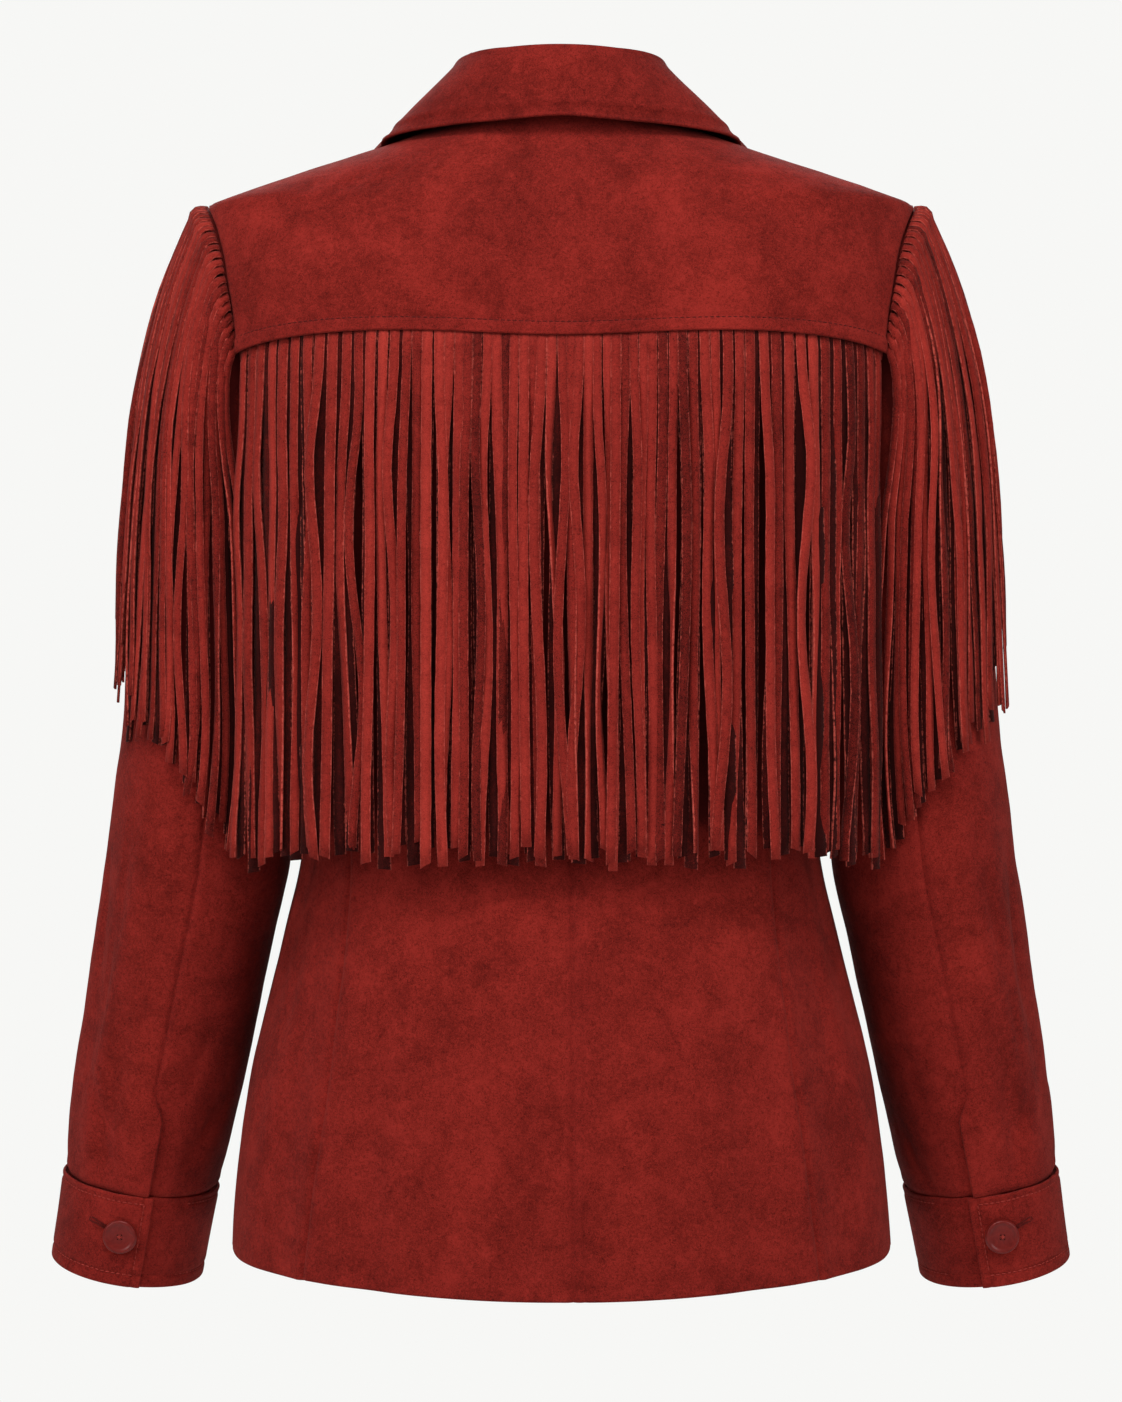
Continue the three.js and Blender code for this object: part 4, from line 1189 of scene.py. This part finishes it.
def makeBackFringe():
    bm = newFringeMesh()
    reach = yoke["cornerTurn"] - 0.010

    def stripPoint(across, row):
        turn = mix(-reach, reach, across)
        z = yokeEdge(turn) + 0.004 - row * (backFringe["stripDepth"] + 0.004)
        return onTorso(turn, z, mix(0.0003, backFringe["stripLift"], row))

    made = gridMesh(bm, [step / 160 for step in range(161)], [1, 0.66, 0.33, 0], stripPoint)
    toneLayer = bm.verts.layers.float["strandToneAndShade"]
    for vert in made:
        vert[toneLayer] = strandCut["stripTone"]
    for layer in (0, 1):
        for index in range(backFringe["counts"][layer]):
            addBackStrand(bm, strandTurn(index, layer), layer)
    for x in backFringe["gapFillers"]:
        turn = turnAtX(x, yoke["centre"], 0, rightAngle)
        addBackStrand(bm, turn, 0)
        addBackStrand(bm, -turn, 0)
    finishSheet("back_fringe", bm, "fringe_back",
                strandCut["thickness"], fringeSuede)


armFringe = {"counts": (20, 29), "depths": (0.0008, 0.0022), "widths": (0.0056, 0.0042),
             "from": -0.14, "to": 1.95, "endFrom": -0.47, "endTo": 1.75, "stripEnd": 0.045,
             "rootAt": 0.004, "stripLift": 0.0008, "loop": 0.0026, "loopAt": 0.0055,
             "loopWidth": 0.0050, "darker": 0.055, "looseEnds": 0.012,
             "shorter": 0.040, "shortAt": 0.93, "shortWidth": 0.20, "closeness": 0.95,
             "narrowest": 0.4, "standOff": 0.0008, "stride": 0.006, "clear": 0.002}


def addArmStrand(bm, index, layer, side):
    habit = strandHabit(mainHabit if layer else underHabit)
    share = (index + 0.5 + random.uniform(-0.10, 0.10)) / armFringe["counts"][layer]
    first = mix(armFringe["from"] + 0.02, armFringe["to"] - 0.02, share)
    last = mix(armFringe["endFrom"], armFringe["endTo"], share)
    habit["tone"] -= armFringe["darker"]
    outer = bump(share - 0.72, 0.25)
    length = strandCut["length"] + habit["length"] + outer * random.gauss(0, armFringe["looseEnds"])
    length -= armFringe["shorter"] * bump(share - armFringe["shortAt"], armFringe["shortWidth"])
    pitchTurn = (armFringe["to"] - armFringe["from"]) / armFringe["counts"][layer]
    width = armFringe["widths"][layer] * habit["width"]
    rows = strandCut["rows"]

    def angleAt(along):
        return mix(first, last, smooth(0, 1, along))

    spaced = evenly(0.020, length, rows - len(rootSteps) - 1)
    distances = rootSteps + spaced
    place = armFringe["rootAt"]
    walked = 0
    here = onSleeve(angleAt(place), place, armFringe["clear"])
    places = []
    stride = armFringe["stride"]
    while len(places) < len(distances):
        onward = onSleeve(angleAt(place + stride), place + stride, armFringe["clear"])
        gone = (onward - here).length
        while len(places) < len(distances) and walked + gone >= distances[len(places)]:
            places.append(place + stride * (distances[len(places)] - walked) / gone)
        walked += gone
        place += stride
        here = onward
    stations = []
    for distance, place in zip(distances, places):
        fallen = distance / length
        free = smooth(0.05, 0.40, fallen)
        drift = habit["sway"] * swayAt(habit, fallen) * free + habit["lean"] * fallen ** 1.5
        angle = angleAt(place) + drift / strandCut["meanRadius"]
        depth = armFringe["depths"][layer] * smooth(0, 0.03, fallen)
        depth += armFringe["standOff"] * min(place, 1) + standAt(habit, fallen, free)
        depth += armFringe["loop"] * layer * bump(distance - armFringe["loopAt"],
                                                  armFringe["loopWidth"])
        centre = onSleeve(angle, place, depth)
        outward = (onSleeve(angle, place, depth + 0.001) - centre).normalized()
        onward = onSleeve(angleAt(place + 0.01), place + 0.01, depth) - onSleeve(
            angleAt(place), place, depth)
        sideways = outward.cross(onward).normalized()
        pitch = (onSleeve(angle + pitchTurn, place, depth) - centre).length
        room = min(1, max(armFringe["closeness"] * pitch / width, armFringe["narrowest"]))
        flipped = [mirrored(vector, side) for vector in (centre, sideways * side, outward)]
        stations.append((*flipped, strandTwist(habit, fallen), raggedAt(habit, fallen) * room))
    addStrand(bm, stations, width, habit)


def makeArmFringe(side, suffix):
    bm = newFringeMesh()

    def stripPoint(across, row):
        angle = mix(armFringe["from"], armFringe["to"], across)
        return mirrored(onSleeve(angle, armFringe["stripEnd"] * row, armFringe["stripLift"]), side)

    gridMesh(bm, [step / 60 for step in range(61)], [1, 0.66, 0.33, 0], stripPoint,
             flip=side < 0)
    for layer in (0, 1):
        for index in range(armFringe["counts"][layer]):
            addArmStrand(bm, index, layer, side)
    finishSheet(f"arm_fringe_{suffix}", bm, f"fringe_sleeve_{suffix}",
                strandCut["thickness"], fringeSuede)


makeBackFringe()
makeArmFringe(1, "L")
makeArmFringe(-1, "R")
print("fringe made")

# Buttons

buttonCut = {"radius": 0.010, "thickness": 0.0034, "rim": 0.0022, "dish": 0.0008, "around": 48,
             "holeSpread": 0.0010, "holeRadius": 0.00062}
cuffButton = {"share": 0.052, "along": 2.063, "clearance": 0.0006}
frontButtons = {"heights": (-0.325, -0.415), "clearance": 0.0009}


def buttonProfile():
    radius, thickness, rim = buttonCut["radius"], buttonCut["thickness"], buttonCut["rim"]
    dish = thickness - buttonCut["dish"]
    profile = [(0, 0), (radius * 0.80, 0), (radius * 0.95, thickness * 0.12),
               (radius, thickness * 0.42), (radius * 0.985, thickness * 0.70),
               (radius - rim * 0.30, thickness * 0.93), (radius - rim * 0.62, thickness),
               (radius - rim * 0.95, thickness * 0.95), (radius - rim * 1.25, dish + 0.0002),
               (radius - rim * 1.6, dish), (radius * 0.30, dish - 0.0001), (0, dish - 0.0001)]
    return [Vector((across, 0, up)) for across, up in profile]


def addSpunButton(bm, placed):
    verts = [bm.verts.new(point) for point in buttonProfile()]
    edges = [bm.edges.new(pair) for pair in zip(verts, verts[1:])]
    before = set(bm.verts) - set(verts)
    bmesh.ops.spin(bm, geom=verts + edges, cent=(0, 0, 0), axis=(0, 0, 1), dvec=(0, 0, 0),
                   angle=math.tau, steps=buttonCut["around"], use_merge=True)
    made = [vert for vert in bm.verts if vert not in before]
    bmesh.ops.remove_doubles(bm, verts=made, dist=1e-6)
    made = [vert for vert in bm.verts if vert not in before]
    faces = list({face for vert in made for face in vert.link_faces})
    bmesh.ops.recalc_face_normals(bm, faces=faces)
    bmesh.ops.transform(bm, matrix=placed, verts=made)


def facing(seat, outward):
    return Matrix.Translation(seat) @ outward.to_track_quat("Z", "Y").to_matrix().to_4x4()


def addBead(bm, start, end, radius):
    run = end - start
    made = bmesh.ops.create_uvsphere(bm, u_segments=6, v_segments=4, radius=1)
    shape = Matrix.Diagonal((radius, radius, run.length / 2 + radius * 0.5, 1))
    placed = facing((start + end) / 2, run) @ shape
    bmesh.ops.transform(bm, matrix=placed, verts=made["verts"])


def makeButton(name, node, seat, outward, clearance, side):
    placed = facing(seat + outward * clearance, outward)
    if side < 0:
        placed = Matrix.Scale(-1, 4, (1, 0, 0)) @ placed
    bm = bmesh.new()
    addSpunButton(bm, placed)
    bmesh.ops.recalc_face_normals(bm, faces=bm.faces[:])
    finishPiece(name, bm, glossyRed, [node])
    top = buttonCut["thickness"] - buttonCut["dish"] - 0.0001
    spread = buttonCut["holeSpread"]
    corners = [Vector((x * spread, y * spread, top)) for x, y in
               ((-1, -1), (1, 1), (-1, 1), (1, -1))]
    holes = bmesh.new()
    for corner in corners:
        bmesh.ops.create_cone(
            holes, cap_ends=True, segments=16, radius1=buttonCut["holeRadius"],
            radius2=buttonCut["holeRadius"] * 0.9, depth=0.0001,
            matrix=placed @ Matrix.Translation(corner + Vector((0, 0, 0.00006))))
    bmesh.ops.recalc_face_normals(holes, faces=holes.faces[:])
    finishPiece(f"{name}_holes", holes, holeShade, smoothShaded=False)
    thread = bmesh.new()
    for start, end in ((corners[0], corners[1]), (corners[2], corners[3])):
        for offset in (-0.00028, 0.00028):
            shift = Vector((offset, -offset * (1 if start.y < 0 else -1), 0.00035))
            addBead(thread, placed @ (start + shift), placed @ (end + shift), 0.00030)
    bmesh.ops.recalc_face_normals(thread, faces=thread.faces[:])
    finishPiece(f"{name}_thread", thread, sewingThread)


def frontSeat(height):
    outward = (onTorso(math.pi, height, 0.002) - torsoPoint(math.pi, height)).normalized()
    return onTorso(math.pi, height, breast["lift"]), outward


cuffSeat = cuffPoint(cuffButton["share"], cuffButton["along"], 0)
cuffOutward = (cuffPoint(cuffButton["share"], cuffButton["along"], 0.001) - cuffSeat).normalized()
makeButton("cuff_button_left", "cuff_button_L", cuffSeat, cuffOutward, cuffButton["clearance"], 1)
makeButton("cuff_button_right", "cuff_button_R", cuffSeat, cuffOutward, cuffButton["clearance"], -1)
for number, height in enumerate(frontButtons["heights"], 1):
    seat, outward = frontSeat(height)
    makeButton(f"front_button_{number}_disc", f"front_button_{number}", seat, outward,
               frontButtons["clearance"], 1)
print("buttons made")

# Stitches and buttonholes

stitchCut = {"pitch": 0.0033, "length": 0.0022, "radius": 0.00038, "sunk": 0.00022,
             "uneven": 0.0001}
stitchLift = stitchCut["sunk"] - clothEdges["stitchDepth"]


def addStitches(bm, path, side=1):
    points = [mirrored(point, side) for point in path]
    lengths = [0]
    for start, end in zip(points, points[1:]):
        lengths.append(lengths[-1] + (end - start).length)
    count = int(lengths[-1] / stitchCut["pitch"])
    for number in range(count):
        middle = (number + 0.5) * stitchCut["pitch"]
        middle += random.uniform(-stitchCut["uneven"], stitchCut["uneven"])
        ends = []
        for distance in (middle - stitchCut["length"] / 2, middle + stitchCut["length"] / 2):
            place = min(max(bisect_right(lengths, distance) - 1, 0), len(points) - 2)
            share = (distance - lengths[place]) / (lengths[place + 1] - lengths[place])
            ends.append(points[place].lerp(points[place + 1], share))
        addBead(bm, ends[0], ends[1], stitchCut["radius"])


def finishStitches(name, bm, thread=sewingThread):
    bmesh.ops.recalc_face_normals(bm, faces=bm.faces[:])
    finishPiece(name, bm, thread)


def yokeStitches():
    bm = bmesh.new()
    reach = yokeReach() - 0.01
    path = []
    for turn in evenly(-reach, reach, 220):
        z = yokeEdge(turn) + yoke["bandHeight"]
        path.append(onTorso(turn, z, yokeLift(turn, z) + bodyDrape(turn, z) + stitchLift))
    addStitches(bm, path)
    finishStitches("yoke_stitches", bm, darkThread)


def centreStitches():
    bm = bmesh.new()
    path = []
    for z in evenly(hemHeight(centreSeam) + 0.004, yokeEdge(centreSeam) - 0.02, 200):
        turn = -centreSeam + clothEdges["centreStitch"] / torsoPoint(-centreSeam, z).xy.length
        path.append(onTorso(turn, z, bodyDrape(turn, z) + stitchLift))
    addStitches(bm, path)
    finishStitches("centre_back_stitches", bm)


def collarStitches():
    bm = bmesh.new()
    path = []
    share = 1 - collar["stitchFromEdge"] / collar["length"]
    for place in evenly(-5.6, 5.6, 200):
        point, normal, lift = collarPoint(place, share)
        path.append(point + normal * (lift + stitchCut["sunk"]))
    addStitches(bm, path)
    finishStitches("collar_stitches", bm)


def cuffStitches(side, suffix):
    bm = bmesh.new()
    first = cuff["lapStitch"] / cuffAround
    ends = cuff["topStitch"], cuff["depth"] - cuff["bottomStitch"]
    for fromTop in ends:
        height = cuffAlong(fromTop)
        path = [cuffPoint(share, height, stitchLift) for share in evenly(first, 0.86, 150)]
        addStitches(bm, path, side)
    path = [cuffPoint(first, cuffAlong(fromTop), stitchLift) for fromTop in evenly(*ends, 20)]
    addStitches(bm, path, side)
    finishStitches(f"cuff_stitches_{suffix}", bm)


def frontStitches(side, suffix, over):
    bm = bmesh.new()
    path = []
    for z in evenly(hemHeight(math.pi) + 0.006, breast["breakPoint"] + 0.01, 120):
        turn = breastTurn(round(z, 5))
        turn -= clothEdges["frontStitch"] / torsoPoint(math.pi, z).xy.length
        path.append(onTorso(turn, z, lapLift(turn, over) + bodyDrape(turn * side, z) + stitchLift))
    addStitches(bm, path, side)
    finishStitches(f"front_stitches_{suffix}", bm)


buttonhole = {"length": 0.0205, "halfWidth": 0.0007, "pitch": 0.0007, "radius": 0.00032,
              "eye": 0.0008, "start": 0.0085, "stitch": 0.0006, "bar": 0.0016}


def addButtonhole(bm, centre, onward, outward, side=1):
    across = outward.cross(onward).normalized()
    count = int((buttonhole["length"] - buttonhole["start"]) / buttonhole["pitch"])
    for number in range(count):
        distance = buttonhole["start"] + number * buttonhole["pitch"]
        fromEnd = buttonhole["length"] - distance
        swell = buttonhole["eye"] * bump(fromEnd - 0.002, 0.0016) * 0.6
        for half in (-1, 1):
            reach = half * (buttonhole["halfWidth"] + swell)
            middle = centre + onward * distance + across * reach
            stitch = across * half * buttonhole["stitch"]
            addBead(bm, mirrored(middle - stitch, side), mirrored(middle + stitch, side),
                    buttonhole["radius"])
    tip = centre + onward * (buttonhole["length"] + 0.0002)
    bar = across * buttonhole["bar"]
    addBead(bm, mirrored(tip - bar, side), mirrored(tip + bar, side), buttonhole["radius"])


def makeButtonholes():
    for side, suffix in ((1, "L"), (-1, "R")):
        bm = bmesh.new()
        onward = (cuffPoint(cuffButton["share"] + 0.02, cuffButton["along"] - 0.006, 0)
                  - cuffSeat).normalized()
        addButtonhole(bm, cuffSeat + cuffOutward * 0.0002, onward, cuffOutward, side)
        finishStitches(f"cuff_buttonhole_{suffix}", bm, darkThread)
    bm = bmesh.new()
    for height in frontButtons["heights"]:
        seat, outward = frontSeat(height)
        addButtonhole(bm, seat + outward * 0.0001, Vector((1, 0, 0)), outward)
    finishStitches("front_buttonholes", bm, darkThread)


yokeStitches()
centreStitches()
collarStitches()
for side, suffix in ((1, "L"), (-1, "R")):
    cuffStitches(side, suffix)
    frontStitches(side, suffix, over=side < 0)
makeButtonholes()
print("stitches made")

# Studio

# Each light: its place, its width and height, and its power
studio = {"ground": (0.930, 0.930, 0.915, 1), "fill": 0.27, "fillColour": (1, 0.98, 0.96, 1),
          "floorColour": (0.8, 0.8, 0.79, 1), "floorHeight": -1.35, "floorSize": 14,
          "aim": (0, 0, -0.33),
          "lights": {"leftLight": ((2.0, 1.6, 0.5), (0.9, 1.6), 31),
                     "rightLight": ((-2.0, 1.6, 0.4), (0.9, 1.6), 27),
                     "topLight": ((0.2, 1.5, 1.8), (1.6, 0.8), 54),
                     "frontLight": ((0.3, -2.4, 1.3), (2.0, 1.6), 60)}}


def makeWorld():
    world = bpy.data.worlds.new("paleStudio")
    world.use_nodes = True
    tree = world.node_tree
    tree.nodes.clear()
    seen = addNode(tree, "ShaderNodeBackground", {"Color": studio["ground"], "Strength": 1.0})
    lit = addNode(tree, "ShaderNodeBackground", {"Color": studio["fillColour"],
                                                 "Strength": studio["fill"]})
    ray = addNode(tree, "ShaderNodeLightPath").outputs["Is Camera Ray"]
    both = addNode(tree, "ShaderNodeMixShader", {0: ray, 1: lit.outputs[0], 2: seen.outputs[0]})
    addNode(tree, "ShaderNodeOutputWorld", {"Surface": both.outputs[0]})
    bpy.context.scene.world = world


def makeFloor():
    bm = bmesh.new()
    bmesh.ops.create_grid(bm, x_segments=1, y_segments=1, size=studio["floorSize"] / 2,
                          matrix=Matrix.Translation((0, 0, studio["floorHeight"])))
    mesh = bpy.data.meshes.new("studioFloor")
    bm.to_mesh(mesh)
    bm.free()
    floor = bpy.data.objects.new("studioFloor", mesh)
    bpy.context.collection.objects.link(floor)
    material = bpy.data.materials.new("paleFloor")
    material.use_nodes = True
    tree = material.node_tree
    tree.nodes.clear()
    paint = addNode(tree, "ShaderNodeBsdfDiffuse", {"Color": studio["floorColour"]})
    seen = addNode(tree, "ShaderNodeEmission", {"Color": studio["ground"], "Strength": 1.0})
    ray = addNode(tree, "ShaderNodeLightPath").outputs["Is Camera Ray"]
    both = addNode(tree, "ShaderNodeMixShader", {0: ray, 1: paint.outputs[0], 2: seen.outputs[0]})
    addNode(tree, "ShaderNodeOutputMaterial", {"Surface": both.outputs[0]})
    mesh.materials.append(material)


def addSoftLight(name, place, size, power):
    data = bpy.data.lights.new(name, "AREA")
    data.shape = "RECTANGLE"
    data.size, data.size_y = size
    data.energy = power
    light = bpy.data.objects.new(name, data)
    bpy.context.collection.objects.link(light)
    light.location = place
    onward = Vector(studio["aim"]) - Vector(place)
    light.rotation_euler = onward.to_track_quat("-Z", "Y").to_euler()


makeWorld()
makeFloor()
for name, (place, size, power) in studio["lights"].items():
    addSoftLight(name, place, size, power)
bpy.context.scene.view_settings.view_transform = "Standard"
print("studio lit")
